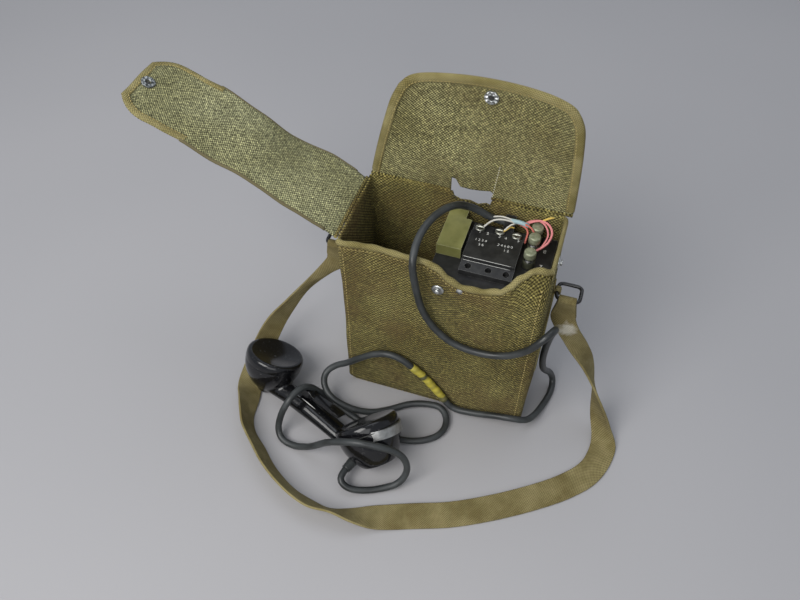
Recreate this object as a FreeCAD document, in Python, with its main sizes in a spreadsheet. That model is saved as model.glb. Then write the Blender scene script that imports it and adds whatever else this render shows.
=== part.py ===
import FreeCAD, Part
import Sketcher
import math
import os
import re
from types import SimpleNamespace
from FreeCAD import Placement, Rotation, Vector

# Driving dimensions, in millimetres and degrees
SIZES = {
    "bag_width": 196, "bag_depth": 96, "front_height": 219, "back_height": 223,
    "gusset_height": 220, "canvas": 2.4, "soft_gap": 0.3, "piping_radius": 2.8,
    "lid_length": 127, "lid_fold_at": 101.5, "lid_base_half": 97, "lid_top_left": -62,
    "lid_top_right": 84, "lid_corner": 30, "fold_gap": 0.35, "hinge_gap": 1.6,
    "flap_length": 221, "flap_fold_at": 201.2, "flap_half_width": 42, "flap_rise": 26.8,
    "snap_radius": 6.5, "snap_bore": 3.2, "stud_radius": 2.8, "stud_foot": 6, "stud_height": 3.2,
    "ring_wire": 1.8, "ring_reach": 22, "ring_half_width": 10, "ring_level": 174,
    "strap_width": 26, "strap_thick": 2.2,
    "unit_left": -14, "unit_right": 92, "unit_front": -42, "unit_back": 44,
    "unit_bottom": 2.8, "sheet_metal": 1.6, "panel_level": 188, "panel_thick": 5,
    "block_left": 12.6, "block_right": 62, "block_front": -14, "block_back": 34,
    "block_height": 12, "ledge_depth": 12, "ledge_height": 7, "socket_radius": 3.2,
    "post_radius": 5.7, "post_height": 16, "post_travel": 2.5, "collar_radius": 6,
    "collar_height": 8, "post_shank": 2.8,
    "side_plate_at": 80, "crank_back": 2, "crank_level": 108, "crank_arm_length": 31,
    "port_radius": 38.5, "shaft_radius": 4, "running_gap": 0.05, "knob_radius": 5,
    "knob_length": 20, "gear_module": 1.2, "gear_teeth": 30, "pinion_teeth": 10,
    "gear_width": 6, "rotor_radius": 13, "rotor_left": 18, "rotor_right": 54,
    "air_gap": 1.2, "magnet_thick": 8, "shelf_level": 56, "ringer_level": 160,
    "gong_radius": 20, "cell_radius": 16.5, "cell_length": 60,
    "cord_radius": 3.5, "tape_radius": 4.3, "wire_radius": 0.9,
    "receiver_radius": 31, "receiver_depth": 42, "receiver_neck": 13,
    "transmitter_radius": 33, "transmitter_depth": 46, "transmitter_neck": 19,
    "transmitter_reach": 160, "transmitter_tilt": 35, "grip_half_width": 12,
    "grip_half_height": 10.5, "cap_wall": 3, "lever_length": 54, "lever_width": 12,
}

doc = FreeCAD.newDocument("FieldTelephone")
sheet = doc.addObject("Spreadsheet::Sheet", "Dimensions")
for row, (word, value) in enumerate(SIZES.items(), start=1):
    sheet.set(f"A{row}", word)
    sheet.set(f"B{row}", str(value))
    sheet.setAlias(f"B{row}", word)
doc.recompute()
dim = SimpleNamespace(**{word: float(sheet.get(word)) for word in SIZES})
nodes = []


def linked(formula):
    """Turn the sheet's words in a formula into references to its cells."""
    def refer(match):
        word = match.group(0)
        return f"Dimensions.{word}" if word in SIZES else word
    return re.sub(r"[a-z_]+", refer, str(formula))


def bind(thing, formulas):
    for name, formula in formulas.items():
        thing.setExpression(name, linked(formula))


def place(thing, at, turn=None):
    if turn:
        thing.Placement.Rotation = turn
    bind(thing, {f"Placement.Base.{axis}": value for axis, value in zip("xyz", at)})
    return thing


def box(name, length, width, height, at):
    piece = doc.addObject("Part::Box", name)
    bind(piece, {"Length": length, "Width": width, "Height": height})
    return place(piece, at)


ALONG = {"x": Rotation(Vector(0, 1, 0), 90), "y": Rotation(Vector(1, 0, 0), -90), "z": None}


def rod(name, radius, length, at, along="z"):
    piece = doc.addObject("Part::Cylinder", name)
    bind(piece, {"Radius": radius, "Height": length})
    return place(piece, at, ALONG[along])


def prism(name, sides, radius, length, at, along="z"):
    piece = doc.addObject("Part::Prism", name)
    piece.Polygon = sides
    bind(piece, {"Circumradius": radius, "Height": length})
    return place(piece, at, ALONG[along])


def cone(name, radius_one, radius_two, length, at, along="z"):
    piece = doc.addObject("Part::Cone", name)
    bind(piece, {"Radius1": radius_one, "Radius2": radius_two, "Height": length})
    return place(piece, at, ALONG[along])


def fuse(name, *pieces):
    whole = doc.addObject("Part::MultiFuse", name)
    whole.Shapes = list(pieces)
    return whole


def cut(name, base, *tools):
    piece = doc.addObject("Part::Cut", name)
    piece.Base = base
    piece.Tool = tools[0] if len(tools) == 1 else fuse(name + "_tools", *tools)
    return piece


def group(name, *pieces):
    whole = doc.addObject("Part::Compound", name)
    whole.Links = list(pieces)
    return whole


def coded(name, shape):
    piece = doc.addObject("Part::Feature", name)
    piece.Shape = shape
    return piece


def node(piece, label):
    piece.Label = label
    nodes.append(piece)
    return piece


def origin_plane(body, role):
    return next(item for item in body.Origin.OriginFeatures if item.Role == role)


def profile(body, role, corners):
    """A closed polygon in a plane of the body's own, each corner bound to the sheet."""
    sketch = body.newObject("Sketcher::SketchObject", body.Name + "_profile")
    sketch.AttachmentSupport = [(origin_plane(body, role), "")]
    sketch.MapMode = "FlatFace"
    count = len(corners)
    spots = [Vector(math.cos(math.tau * n / count), math.sin(math.tau * n / count), 0)
             for n in range(count)]
    for n in range(count):
        sketch.addGeometry(Part.LineSegment(spots[n], spots[(n + 1) % count]), False)
    for n in range(count):
        sketch.addConstraint(Sketcher.Constraint("Coincident", n, 2, (n + 1) % count, 1))
    for n, (across, up) in enumerate(corners):
        for kind, word, start, value in (("DistanceX", "across", spots[n].x, across),
                                         ("DistanceY", "up", spots[n].y, up)):
            index = sketch.addConstraint(Sketcher.Constraint(kind, n, 1, start))
            sketch.renameConstraint(index, f"{word}_{n}")
            sketch.setExpression(f"Constraints.{word}_{n}", linked(value))
    return sketch


def extruded(name, role, corners, length, at=(0, 0, 0)):
    body = doc.addObject("PartDesign::Body", name)
    sketch = profile(body, role, corners)
    pad = body.newObject("PartDesign::Pad", name + "_pad")
    pad.Profile = sketch
    bind(pad, {"Length": length})
    bind(body, {f"Placement.Base.{axis}": value for axis, value in zip("xyz", at)})
    return body


def rounded_path(points, report=None):
    """Straight runs joined by tangent arcs, each as large as its two runs allow."""
    spots = [Vector(*point) for point in points]
    edges = []
    radii = []
    start = spots[0]
    for before, corner, after in zip(spots, spots[1:], spots[2:]):
        back = before - corner
        ahead = after - corner
        turn = math.pi - back.getAngle(ahead)
        reach = 0.45 * min(back.Length, ahead.Length)
        radius = reach / math.tan(turn / 2)
        radii.append(radius)
        back.normalize()
        ahead.normalize()
        middle = back + ahead
        middle.normalize()
        first = corner + back * reach
        last = corner + ahead * reach
        centre = corner + middle * (radius / math.cos(turn / 2))
        edges.append(Part.LineSegment(start, first).toShape())
        edges.append(Part.Arc(first, centre - middle * radius, last).toShape())
        start = last
    edges.append(Part.LineSegment(start, spots[-1]).toShape())
    path = Part.Wire(edges)
    if report:
        print(report, "length", round(path.Length, 1), "radii", [round(r) for r in radii])
    return path


def tube_along(points, radius, sides=5, report=None):
    """A round tube with flats, swept along a rounded path and tested by its volume."""
    path = rounded_path(points, report)
    heading = (Vector(*points[1]) - Vector(*points[0])).normalize()
    sideways = heading.cross(Vector(0.3, 0.2, 1)).normalize()
    upward = heading.cross(sideways)
    corners = [Vector(*points[0]) + sideways * (radius * math.cos(math.tau * n / sides))
               + upward * (radius * math.sin(math.tau * n / sides)) for n in range(sides)]
    solid = path.makePipeShell([Part.makePolygon(corners + corners[:1])], True, False)
    section = sides / 2 * radius ** 2 * math.sin(math.tau / sides)
    share = solid.Volume / (section * path.Length)
    if abs(share - 1) > 0.02:
        raise ValueError(f"{report}: volume share {share}")
    return solid


def lathe(corners):
    """A solid of revolution about Z, from a polygon of radius and height."""
    face = Part.Face(Part.makePolygon([Vector(r, 0, z) for r, z in corners + corners[:1]]))
    return face.revolve(Vector(0, 0, 0), Vector(0, 0, 1), 360)


def bar(sides, radius, length, at, way):
    """A small straight bar with flats, from a point along a direction."""
    ring = [Vector(radius * math.cos(math.tau * n / sides), radius * math.sin(math.tau * n / sides), 0)
            for n in range(sides)]
    solid = Part.Face(Part.makePolygon(ring + ring[:1])).extrude(Vector(0, 0, length))
    solid.Placement = Placement(at, Rotation(Vector(0, 0, 1), way))
    return solid


def dish(sides, rings):
    """A solid with flats, through rings of radius and height about Z."""
    loops = []
    for radius, height in rings:
        ring = [Vector(radius * math.cos(math.tau * n / sides), radius * math.sin(math.tau * n / sides), height)
                for n in range(sides)]
        loops.append(Part.makePolygon(ring + ring[:1]))
    return Part.makeLoft(loops, True, True)


def webbing(stations, width, thick):
    """A flat band through stations of centre, width direction and face direction."""
    loops = []
    for centre, across, face, *share in stations:
        half = width / 2 * (share[0] if share else 1)
        centre = Vector(*centre)
        across = Vector(*across).normalize()
        face = Vector(*face)
        face = (face - across * face.dot(across)).normalize()
        corners = [centre + across * (half * a) + face * (thick / 2 * b)
                   for a, b in ((-1, -1), (1, -1), (1, 1), (-1, 1))]
        loops.append(Part.makePolygon(corners + corners[:1]))
    return Part.makeLoft(loops, True, True)


half_width = dim.bag_width / 2
half_depth = dim.bag_depth / 2
rearward = Vector(0, 1, 0)
up = Vector(0, 0, 1)

# Carrier bag: five canvas panels, with the front edge cut low over the terminals
edge_end = half_width - dim.canvas - 0.4
edge_route = [(-edge_end, 217), (-64, 219), (-14, 218), (9, 206.5), (24, 200.5), (42, 201),
              (58, 206), (70, 217), (82, 219), (edge_end, 218)]
edge_level = half_depth - dim.canvas / 2
edge_points = [(across, -edge_level, up) for across, up in edge_route]
edge_path = rounded_path(edge_points)
front_wire = Part.Wire(edge_path.Edges + Part.makePolygon(
    [Vector(*edge_points[-1]), Vector(half_width, -edge_level, edge_route[-1][1]),
     Vector(half_width, -edge_level, 0), Vector(-half_width, -edge_level, 0),
     Vector(-half_width, -edge_level, edge_route[0][1]), Vector(*edge_points[0])]).Edges)
front_face = Part.Face(front_wire)
front_face.translate(Vector(0, -dim.canvas / 2, 0))
front_solid = front_face.extrude(Vector(0, dim.canvas, 0))
groove = tube_along(edge_points, dim.piping_radius + dim.soft_gap, 6)
front_solid = front_solid.cut(groove)
node(coded("bag_front", max(front_solid.Solids, key=lambda part: part.Volume)), "bag_front")
node(coded("front_piping", tube_along(edge_points, dim.piping_radius, 6)), "front_piping")

back_blank = box("back_blank", "bag_width", "canvas", "back_height",
                 ("-bag_width / 2", "bag_depth / 2 - canvas", 0))
back_tear = extruded("back_tear", "XZ_Plane",
                     [(-12, "back_height - 7"), (4, "back_height - 9"), (21, "back_height - 6"),
                      (26, "back_height + 9"), (-16, "back_height + 9")],
                     "3 * canvas", (0, "bag_depth / 2 + canvas", 0))
node(cut("back_panel", back_blank, back_tear), "bag_back")

inner_depth = "bag_depth - 2 * canvas"
node(box("left_panel", "canvas", inner_depth, "gusset_height",
         ("-bag_width / 2", "-bag_depth / 2 + canvas", 0)), "bag_left")
right_blank = box("right_blank", "canvas", inner_depth, "gusset_height",
                  ("bag_width / 2 - canvas", "-bag_depth / 2 + canvas", 0))
port_hole = rod("port_hole", "port_radius", "3 * canvas",
                ("bag_width / 2 - 2 * canvas", "crank_back", "crank_level"), "x")
node(cut("right_panel", right_blank, port_hole), "bag_right")
node(box("base_panel", "bag_width - 2 * canvas", inner_depth, "canvas",
         ("-bag_width / 2 + canvas", "-bag_depth / 2 + canvas", 0)), "bag_bottom")
ring_outer = rod("ring_outer", "port_radius + 4", "1.5", ("bag_width / 2", "crank_back", "crank_level"), "x")
ring_inner = rod("ring_inner", "port_radius", "4", ("bag_width / 2 - 1", "crank_back", "crank_level"), "x")
node(cut("port_ring", ring_outer, ring_inner), "crank_port_ring")

# Lid flap, in two pieces that fold at the bag's front edge
lid_y = half_depth + 1.5
lid_axis_level = dim.back_height + dim.hinge_gap
lid_left = dim.lid_top_left
lid_right = dim.lid_top_right


def lid_outline(low, high):
    """The part of the tapered, round-cornered flap between two distances from its hinge."""
    base = dim.lid_base_half
    top = dim.lid_length
    corner = dim.lid_corner
    corners = [(-base, -1), (-base + 17, top - corner - 20), (lid_left - 9, top - corner + 4),
               (lid_left + 16, top - 4), (10, top), (lid_right - 20, top - 1), (lid_right + 6, top - 12),
               (base - 2, top - corner - 18), (base + 2, -1)]
    points = [(across, lid_y, lid_axis_level + up) for across, up in corners]
    path = rounded_path(points)
    outline = Part.Face(Part.Wire(path.Edges + [Part.makeLine(Vector(*points[-1]), Vector(*points[0]))]))
    outline.translate(Vector(0, -dim.canvas / 2, 0))
    whole = outline.extrude(Vector(0, dim.canvas, 0))
    window = Part.makeBox(4 * base, 4 * dim.canvas, high - low,
                          Vector(-2 * base, lid_y - 2 * dim.canvas, lid_axis_level + low))
    return whole.common(window)


node(coded("lid_panel", lid_outline(-1, dim.lid_fold_at - dim.fold_gap)), "lid_panel")
node(coded("lid_front_drop", lid_outline(dim.lid_fold_at + dim.fold_gap, dim.lid_length + 1)),
     "lid_front_drop")

# Side flap, thrown open to the upper left, in two pieces
flap_x = -half_width - 1.5
flap_axis_level = dim.gusset_height + dim.hinge_gap
flap_angle = math.radians(180 - dim.flap_rise)
flap_along = Vector(math.cos(flap_angle), 0, math.sin(flap_angle))
flap_face = Vector(math.sin(-flap_angle), 0, math.cos(flap_angle))
flap_start = Vector(flap_x, 0, flap_axis_level)
flap_turn = Rotation(flap_along, Vector(0, 1, 0), flap_face, "XYZ")


def flap_band(start, end, end_round):
    """A strip of the side flap, with its outer corners rounded."""
    half = dim.flap_half_width
    band = Part.makeBox(end - start, 2 * half, dim.canvas, Vector(start, -half, -dim.canvas / 2))
    band.Placement = Placement(flap_start, flap_turn)
    if not end_round:
        return band
    keep = []
    for side in (-1, 1):
        tip = flap_start + flap_along * end
        inner = tip - flap_along * end_round + Vector(0, side * (half - end_round), 0)
        block = Part.makeBox(end_round * 2, end_round * 2, 40)
        block.translate(Vector(0, 0, -20))
        disc = Part.makeCylinder(end_round, 44, Vector(0, 0, -22))
        corner = block.cut(disc)
        if side < 0:
            corner = corner.mirror(Vector(0, 0, 0), Vector(0, 1, 0))
        corner.Placement = Placement(inner, flap_turn).multiply(corner.Placement)
        keep.append(corner)
    return band.cut(keep)


node(coded("side_flap", flap_band(-1.3, dim.flap_fold_at - dim.fold_gap, 0)), "side_flap")
node(coded("side_flap_tip", flap_band(dim.flap_fold_at + dim.fold_gap, dim.flap_length, 16)),
     "side_flap_tip")

# Snap fasteners: two studs on the bag, a socket on each flap
stud_level = 190
snap_from_tip = 10.1
side_stud_level = f"gusset_height + hinge_gap - canvas / 2 - (flap_length - {snap_from_tip} - flap_fold_at)"


def stud(name, foot_at, along):
    """A stud on its washer, pointing out of the wall."""
    foot = prism(name + "_foot", 12, "stud_foot", 1, foot_at, along)
    stem_at = list(foot_at)
    if along == "y":
        stem_at[1] = f"{foot_at[1]} - (stud_height - 1)"
    stem = prism(name + "_stem", 12, "stud_radius", "stud_height", stem_at, along)
    return fuse(name, foot, stem)


front_stud = stud("front_stud", (0, "-bag_depth / 2 - 1", stud_level), "y")
side_stud = stud("side_stud", ("bag_width / 2", 0, side_stud_level), "x")
node(group("studs", front_stud, side_stud), "snap_studs")
lid_snap_at = (13, "bag_depth / 2 + 1.5 - canvas / 2 - 2.2", "back_height + hinge_gap + 110")
lid_snap_blank = rod("lid_snap_blank", "snap_radius", 2, lid_snap_at, "y")
lid_snap_bore = rod("lid_snap_bore", "snap_bore", 4, lid_snap_at, "y")
node(cut("lid_snap_ring", lid_snap_blank, lid_snap_bore), "lid_snap")
side_snap_base = (flap_start + flap_along * (dim.flap_length - snap_from_tip)
                  - flap_face * (dim.canvas / 2 + 0.2))
side_snap = coded("side_snap", Part.makeCylinder(dim.snap_radius, 2).cut(Part.makeCylinder(dim.snap_bore, 2)))
side_snap.Placement = Placement(side_snap_base, flap_turn).multiply(
    Placement(Vector(0, 0, 0), Rotation(Vector(1, 0, 0), 180)))
node(side_snap, "side_snap")
rivet_head = prism("rivet_head", 10, 3.4, 0.9, (20, "-bag_depth / 2 - 0.9", 195), "y")
rivet_core = prism("rivet_core", 8, 1.6, 1.4, (20, "-bag_depth / 2 - 1.4", 195), "y")
node(fuse("rivet", rivet_head, rivet_core), "front_rivet")


# Strap rings: a bent wire each side, held by a sewn tab
def wire_ring(side):
    """A rounded wire ring lying level, its straight bar beside the bag's wall."""
    wall = side * (half_width + dim.ring_wire + 3.2)
    far = wall + side * dim.ring_reach
    half = dim.ring_half_width
    bend = 4
    level = dim.ring_level
    spots = [(wall, bend - half), (wall, half - bend), (wall + side * bend, half), (far - side * bend, half),
             (far, half - bend), (far, bend - half), (far - side * bend, -half), (wall + side * bend, -half)]
    corners = [Vector(across, back, level) for across, back in spots]
    section = Part.Wire(Part.makePolygon(
        [Vector(wall + dim.ring_wire * math.cos(math.tau * n / 8), 0,
                level + dim.ring_wire * math.sin(math.tau * n / 8)) for n in range(9)]))
    middle = Vector(wall, 0, level)
    loop = Part.Wire(Part.makePolygon([middle] + corners[1:] + corners[:1] + [middle]).Edges)
    return loop.makePipeShell([section], True, True, 1)


def ring_tab(side):
    """A folded tab sewn to the wall, closed round the ring's straight bar."""
    wall = side * (half_width + 0.2)
    bar_x = side * (half_width + dim.ring_wire + 3.2)
    level = dim.ring_level
    hold = dim.ring_wire + 0.3
    half = dim.ring_half_width - 7
    tongue = Part.makeBox(2, 2 * half, 30, Vector(min(wall, wall + side * 2), -half, level - 18))
    middle = Vector(bar_x, -half, level)
    loop = bar(12, hold + 2, 2 * half, middle, Vector(0, 1, 0))
    bore = bar(12, hold + 0.1, 2 * half, middle, Vector(0, 1, 0))
    wall_side = Part.makeBox(20, 4 * half, 20, Vector(wall - (20 if side > 0 else 0), -2 * half, level - 10))
    return tongue.fuse(loop).cut(bore).cut(wall_side)


node(coded("strap_rings", Part.makeCompound([wire_ring(-1), wire_ring(1)])), "strap_rings")
node(coded("ring_tabs", Part.makeCompound([ring_tab(-1), ring_tab(1)])), "ring_tabs")

# Carrying strap: webbing from the right ring, down and round in front on the floor, to the left ring
strap_lie = dim.strap_thick / 2 + 0.2
edge_lie = 11.8


def ring_end(side):
    """Stations from the sewn end, up inside the ring, over its wire and down in front."""
    middle = side * (half_width + dim.ring_wire + 3.2 + dim.ring_reach / 2)
    turn = dim.ring_wire + 0.3 + dim.strap_thick / 2
    bar = -dim.ring_half_width
    level = dim.ring_level
    legs = [(bar + 1.3, level - 20, 1), (bar + 1.6, level - 9, 1), (bar + turn, level, 1)]
    over = [(bar + turn * math.cos(a), level + turn * math.sin(a), 0) for a in (0.8, 1.57, 2.34)]
    down = [(bar - turn, level, -1), (bar - 1.6, level - 9, -1), (bar - 1.5, level - 20, -1)]
    stations = []
    for back, height, way in legs + over + down:
        face = (0, way, 0) if way else (0, back - bar, height - level)
        stations.append(((middle, back, height), (1, 0, 0), face, 0.5))
    return stations


def floor_stations(points):
    """Stations for webbing that lies flat, its width square to its way."""
    spots = [Vector(across, back, strap_lie) for across, back in points]
    stations = []
    for n, spot in enumerate(spots):
        way = spots[min(n + 1, len(spots) - 1)] - spots[max(n - 1, 0)]
        stations.append((spot, way.cross(up), up))
    return stations


right_stations = ring_end(1) + [
    ((120, -13, 139), (1, 0.1, -0.15), (0, -1, 0.1), 0.85), ((135, -10, 112), (0.9, 0.5, -0.3), (0.4, -0.9, 0.3)),
    ((151, -11, 85), (0.3, 0.8, -0.5), (0.8, -0.5, 0.2)), ((166, -16, 50), (-0.3, 0.8, -0.4), (0.9, 0, 0.4)),
    ((178, -24, 17), (-0.8, 0.5, -0.1), (0.3, 0.6, 0.9)), ((187, -44, strap_lie + 1), (-1, 0.1, 0), up)]
front_stations = floor_stations([
    (187.5, -46), (179, -76), (158, -101), (127, -125), (91, -148), (55, -167), (18, -181), (-14, -193)])
edge_lie = 11.5
front_stations += [
    ((-42, -200, 7), (0.05, -0.9, 0.5), (0, 0.5, 0.9)), ((-73, -204, edge_lie), (0, -0.4, 1), (0, 1, 0.4)),
    ((-102, -198, edge_lie), (0.2, -0.5, 1), (0.3, 0.9, 0.3)),
    ((-131, -183, 8), (0.4, -0.8, 0.6), (0.3, 0.3, 0.8))]
front_stations += floor_stations([(-157, -163), (-177, -140)])
left_stations = [
    ((-178, -138.5, strap_lie), (0.75, 0.65, 0), up), ((-190, -121, strap_lie), (0.9, 0.4, 0), up),
    ((-203, -98, strap_lie + 1), (1, 0.1, 0), (0, 0.1, 1)),
    ((-208, -76, 6), (1, 0.1, 0.1), (0, 0.3, 1)), ((-206, -52, 22), (0.9, 0.4, -0.1), (-0.3, 0.5, 0.8)),
    ((-188, -30, 52), (0.7, 0.6, -0.2), (-0.6, 0.5, 0.6)),
    ((-162, -20, 90), (0.8, 0.5, 0.4), (-0.6, 0.4, 0.4)),
    ((-134, -16, 128), (0.9, 0.2, 0.4), (-0.3, -0.9, 0), 0.85)] + ring_end(-1)[::-1]
for name, stations in (("strap_right", right_stations), ("strap_front", front_stations),
                       ("strap_left", left_stations)):
    node(coded(name, webbing(stations, dim.strap_width, dim.strap_thick)), name)

# Telephone unit: chassis, terminal panel and what stands on it
unit_width = "unit_right - unit_left"
unit_depth = "unit_back - unit_front"
chassis_corners = [
    ("unit_left", "unit_bottom"), ("side_plate_at + sheet_metal", "unit_bottom"),
    ("side_plate_at + sheet_metal", "panel_level - sheet_metal"), ("unit_right", "panel_level - sheet_metal"),
    ("unit_right", "panel_level"), ("side_plate_at", "panel_level"),
    ("side_plate_at", "unit_bottom + sheet_metal"), ("unit_left + sheet_metal", "unit_bottom + sheet_metal"),
    ("unit_left + sheet_metal", "panel_level"), ("unit_left", "panel_level")]
chassis_blank = extruded("chassis_blank", "XZ_Plane", chassis_corners, unit_depth, (0, "unit_back", 0))
shaft_way = rod("shaft_way", "shaft_radius + running_gap", 12,
                ("side_plate_at - 5", "crank_back", "crank_level"), "x")
node(cut("chassis", chassis_blank, shaft_way), "chassis_frame")

panel_blank = box("panel_blank", unit_width, unit_depth, "panel_thick",
                  ("unit_left", "unit_front", "panel_level"))
post_spots = [(71.6, 4.4), (71.6, 24.6), (71.6, 37.9)]
shank_ways = [prism(f"shank_way_{n}", 10, "post_shank + 0.5", 30, (x, y, "panel_level - 10"))
              for n, (x, y) in enumerate(post_spots)]
node(cut("panel", panel_blank, *shank_ways), "terminal_panel")

panel_top = "panel_level + panel_thick"
block_corners = [("block_front - ledge_depth", panel_top), ("block_back", panel_top),
                 ("block_back", f"{panel_top} + block_height - 4"),
                 ("block_back - 12", f"{panel_top} + block_height - 4"),
                 ("block_back - 12", f"{panel_top} + block_height"),
                 ("block_front", f"{panel_top} + block_height"),
                 ("block_front", f"{panel_top} + ledge_height + 1"),
                 ("block_front - ledge_depth", f"{panel_top} + ledge_height - 1")]
block_blank = extruded("block_blank", "YZ_Plane", block_corners, "block_right - block_left",
                       ("block_left", 0, 0))
screw_spots = [(19, 28), (38, 29), (54.5, 28)]
socket_bores = [prism(f"socket_bore_{n}", 12, "socket_radius", 20, (x, "block_front - ledge_depth / 2", 194.5))
                for n, x in enumerate((20, 39, 55.5))]
screw_bores = [prism(f"screw_bore_{n}", 8, 2.4, 20, (x, y, 194)) for n, (x, y) in enumerate(screw_spots)]
node(cut("block", block_blank, *socket_bores, *screw_bores), "terminal_block")

cover_blank = box("cover_blank", "block_left - unit_left - 3", 52, "block_height",
                  ("unit_left", -7, panel_top))
cover_inside = box("cover_inside", "block_left - unit_left - 3 - sheet_metal", 60,
                   "block_height - sheet_metal", ("unit_left + sheet_metal", "-7 + sheet_metal", panel_top))
cover_notch = box("cover_notch", 12, 14, 20, ("block_left - 9", 34, panel_top))
node(cut("cover", cover_blank, cover_inside, cover_notch), "switch_cover")


def slotted_screw(name, at, head):
    x, y, z = at
    shank = prism(name + "_shank", 8, 2.0, 8, (x, y, z - 7))
    cap = prism(name + "_cap", 14, head, 3, (x, y, z))
    slot = box(name + "_slot", 2 * head + 2, 1.2, 2, (x - head - 1, y - 0.6, z + 1.6))
    return cut(name, fuse(name + "_solid", shank, cap), slot)


screw_level = dim.panel_level + dim.panel_thick + dim.block_height - 3.9
screws = [slotted_screw(f"screw_{n}", (x, y, screw_level), 4.8) for n, (x, y) in enumerate(screw_spots)]
node(group("screws", *screws), "terminal_screws")

seat_radius = 4.6
post_gap = 0.5
head_level = f"{panel_top} + collar_height + post_travel + {post_gap}"
collars = []
for n, (x, y) in enumerate(post_spots, start=1):
    collar = prism(f"collar_{n}", 14, "collar_radius", "collar_height", (x, y, panel_top))
    bore = prism(f"collar_bore_{n}", 10, seat_radius + 0.2, 20, (x, y, "panel_level - 5"))
    collars.append(cut(f"collar_cut_{n}", collar, bore))
    head = prism(f"post_head_{n}", 16, "post_radius", "post_height - collar_height", (x, y, head_level))
    shank = prism(f"post_shank_{n}", 10, "post_shank", "panel_thick + collar_height + post_travel + 3.5",
                  (x, y, "panel_level - 3"))
    foot = prism(f"post_foot_{n}", 10, "post_shank + 1.8", 1.5, (x, y, "panel_level - 1.7"))
    node(fuse(f"post_{n}", head, shank, foot), f"line_post_{n}")
    coil = prism(f"coil_{n}", 10, seat_radius - 0.3, f"collar_height + post_travel + {post_gap} - 0.2",
                 (x, y, panel_top))
    coil_bore = prism(f"coil_bore_{n}", 10, "post_shank + 0.4", 20, (x, y, "panel_level"))
    node(cut(f"spring_{n}", coil, coil_bore), f"post_spring_{n}")
node(group("collars", *collars), "post_collars")

# Jacket clamp at the back, and the short leads that run from it to the terminals
clamp_level = dim.panel_level + dim.panel_thick
cord_level = clamp_level + 15
clamp_blank = box("clamp_blank", 10, 9, 20, (40, 34.6, clamp_level))
node(clamp_blank, "cord_clamp")
step_level = clamp_level + dim.block_height - 4 + 0.7
lead_routes = [
    [(50, 36.4, 210.5), (57, 36.4, 210.5), (55.5, 33.5, 217), (40, 31.2, 217.5), (29, 30, 210),
     (25, 29.2, step_level)],
    [(50, 38.2, 205.8), (57.5, 38.2, 205.8), (57, 32.7, 210), (48, 31, 210), (44.1, 30, step_level)],
    [(50, 40.1, 208.5), (56.5, 40.1, 208.5), (60.5, 36, 206.5), (60.6, 30.5, step_level)],
    [(50, 36.2, 203.6), (57, 36.2, 203.6), (63.3, 33.5, 202), (63.3, 27.5, clamp_level + 0.6)],
    [(50, 41.8, 206), (55, 41.8, 206), (61, 41.5, 202), (62, 40.3, clamp_level + 0.3)]]
leads = [tube_along(route, dim.wire_radius, 4) for route in lead_routes]
node(coded("lead_wires", Part.makeCompound(leads)), "lead_wires")

# Power and signal parts inside the chassis
tray = box("tray", "side_plate_at - unit_left - sheet_metal - 0.6", 70, "sheet_metal",
           ("unit_left + sheet_metal + 0.3", -36, "unit_bottom + sheet_metal"))
tray_front = box("tray_front", 80, "sheet_metal", 16, ("unit_left + sheet_metal + 4", -36,
                                                        "unit_bottom + sheet_metal"))
tray_back = box("tray_back", 80, "sheet_metal", 16, ("unit_left + sheet_metal + 4", "34 - sheet_metal",
                                                      "unit_bottom + sheet_metal"))
node(fuse("tray_whole", tray, tray_front, tray_back), "battery_tray")
cells = []
for n, x in enumerate((12, 50)):
    at_level = "unit_bottom + 2 * sheet_metal + cell_radius + 0.3"
    can = prism(f"cell_{n}", 20, "cell_radius", "cell_length - 2", (x, -32, at_level), "y")
    nub = prism(f"cell_nub_{n}", 8, 5, 2, (x, "cell_length - 34", at_level), "y")
    cells.append(fuse(f"cell_whole_{n}", can, nub))
node(group("cells", *cells), "battery_cells")
node(box("shelf", "side_plate_at - unit_left - sheet_metal - 0.6", 84, "sheet_metal",
         ("unit_left + sheet_metal + 0.3", -41, "shelf_level")), "equipment_shelf")

gear_pitch = dim.gear_module * dim.gear_teeth / 2
pinion_pitch = dim.gear_module * dim.pinion_teeth / 2
centres = gear_pitch + pinion_pitch
rotor_y = dim.crank_back - 0.6 * centres
rotor_z = dim.crank_level - 0.8 * centres


def toothed_wheel(teeth, width, bore, spot, lead):
    """A spur gear with trapezoid teeth, its first tooth at an angle from the Y axis."""
    pitch = dim.gear_module * teeth / 2
    step = math.tau / teeth
    tip = pitch + 0.8 * dim.gear_module
    root = pitch - 1.1 * dim.gear_module
    corners = []
    for tooth in range(teeth):
        for share, radius in ((-0.30, root), (-0.13, tip), (0.13, tip), (0.30, root)):
            angle = lead + (tooth + share) * step
            corners.append(Vector(0, radius * math.cos(angle), radius * math.sin(angle)))
    face = Part.Face(Part.makePolygon(corners + corners[:1]))
    wheel = face.extrude(Vector(width, 0, 0))
    wheel = wheel.cut(Part.makeCylinder(bore, width, Vector(0, 0, 0), Vector(1, 0, 0)))
    wheel.translate(spot)
    return wheel


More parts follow.
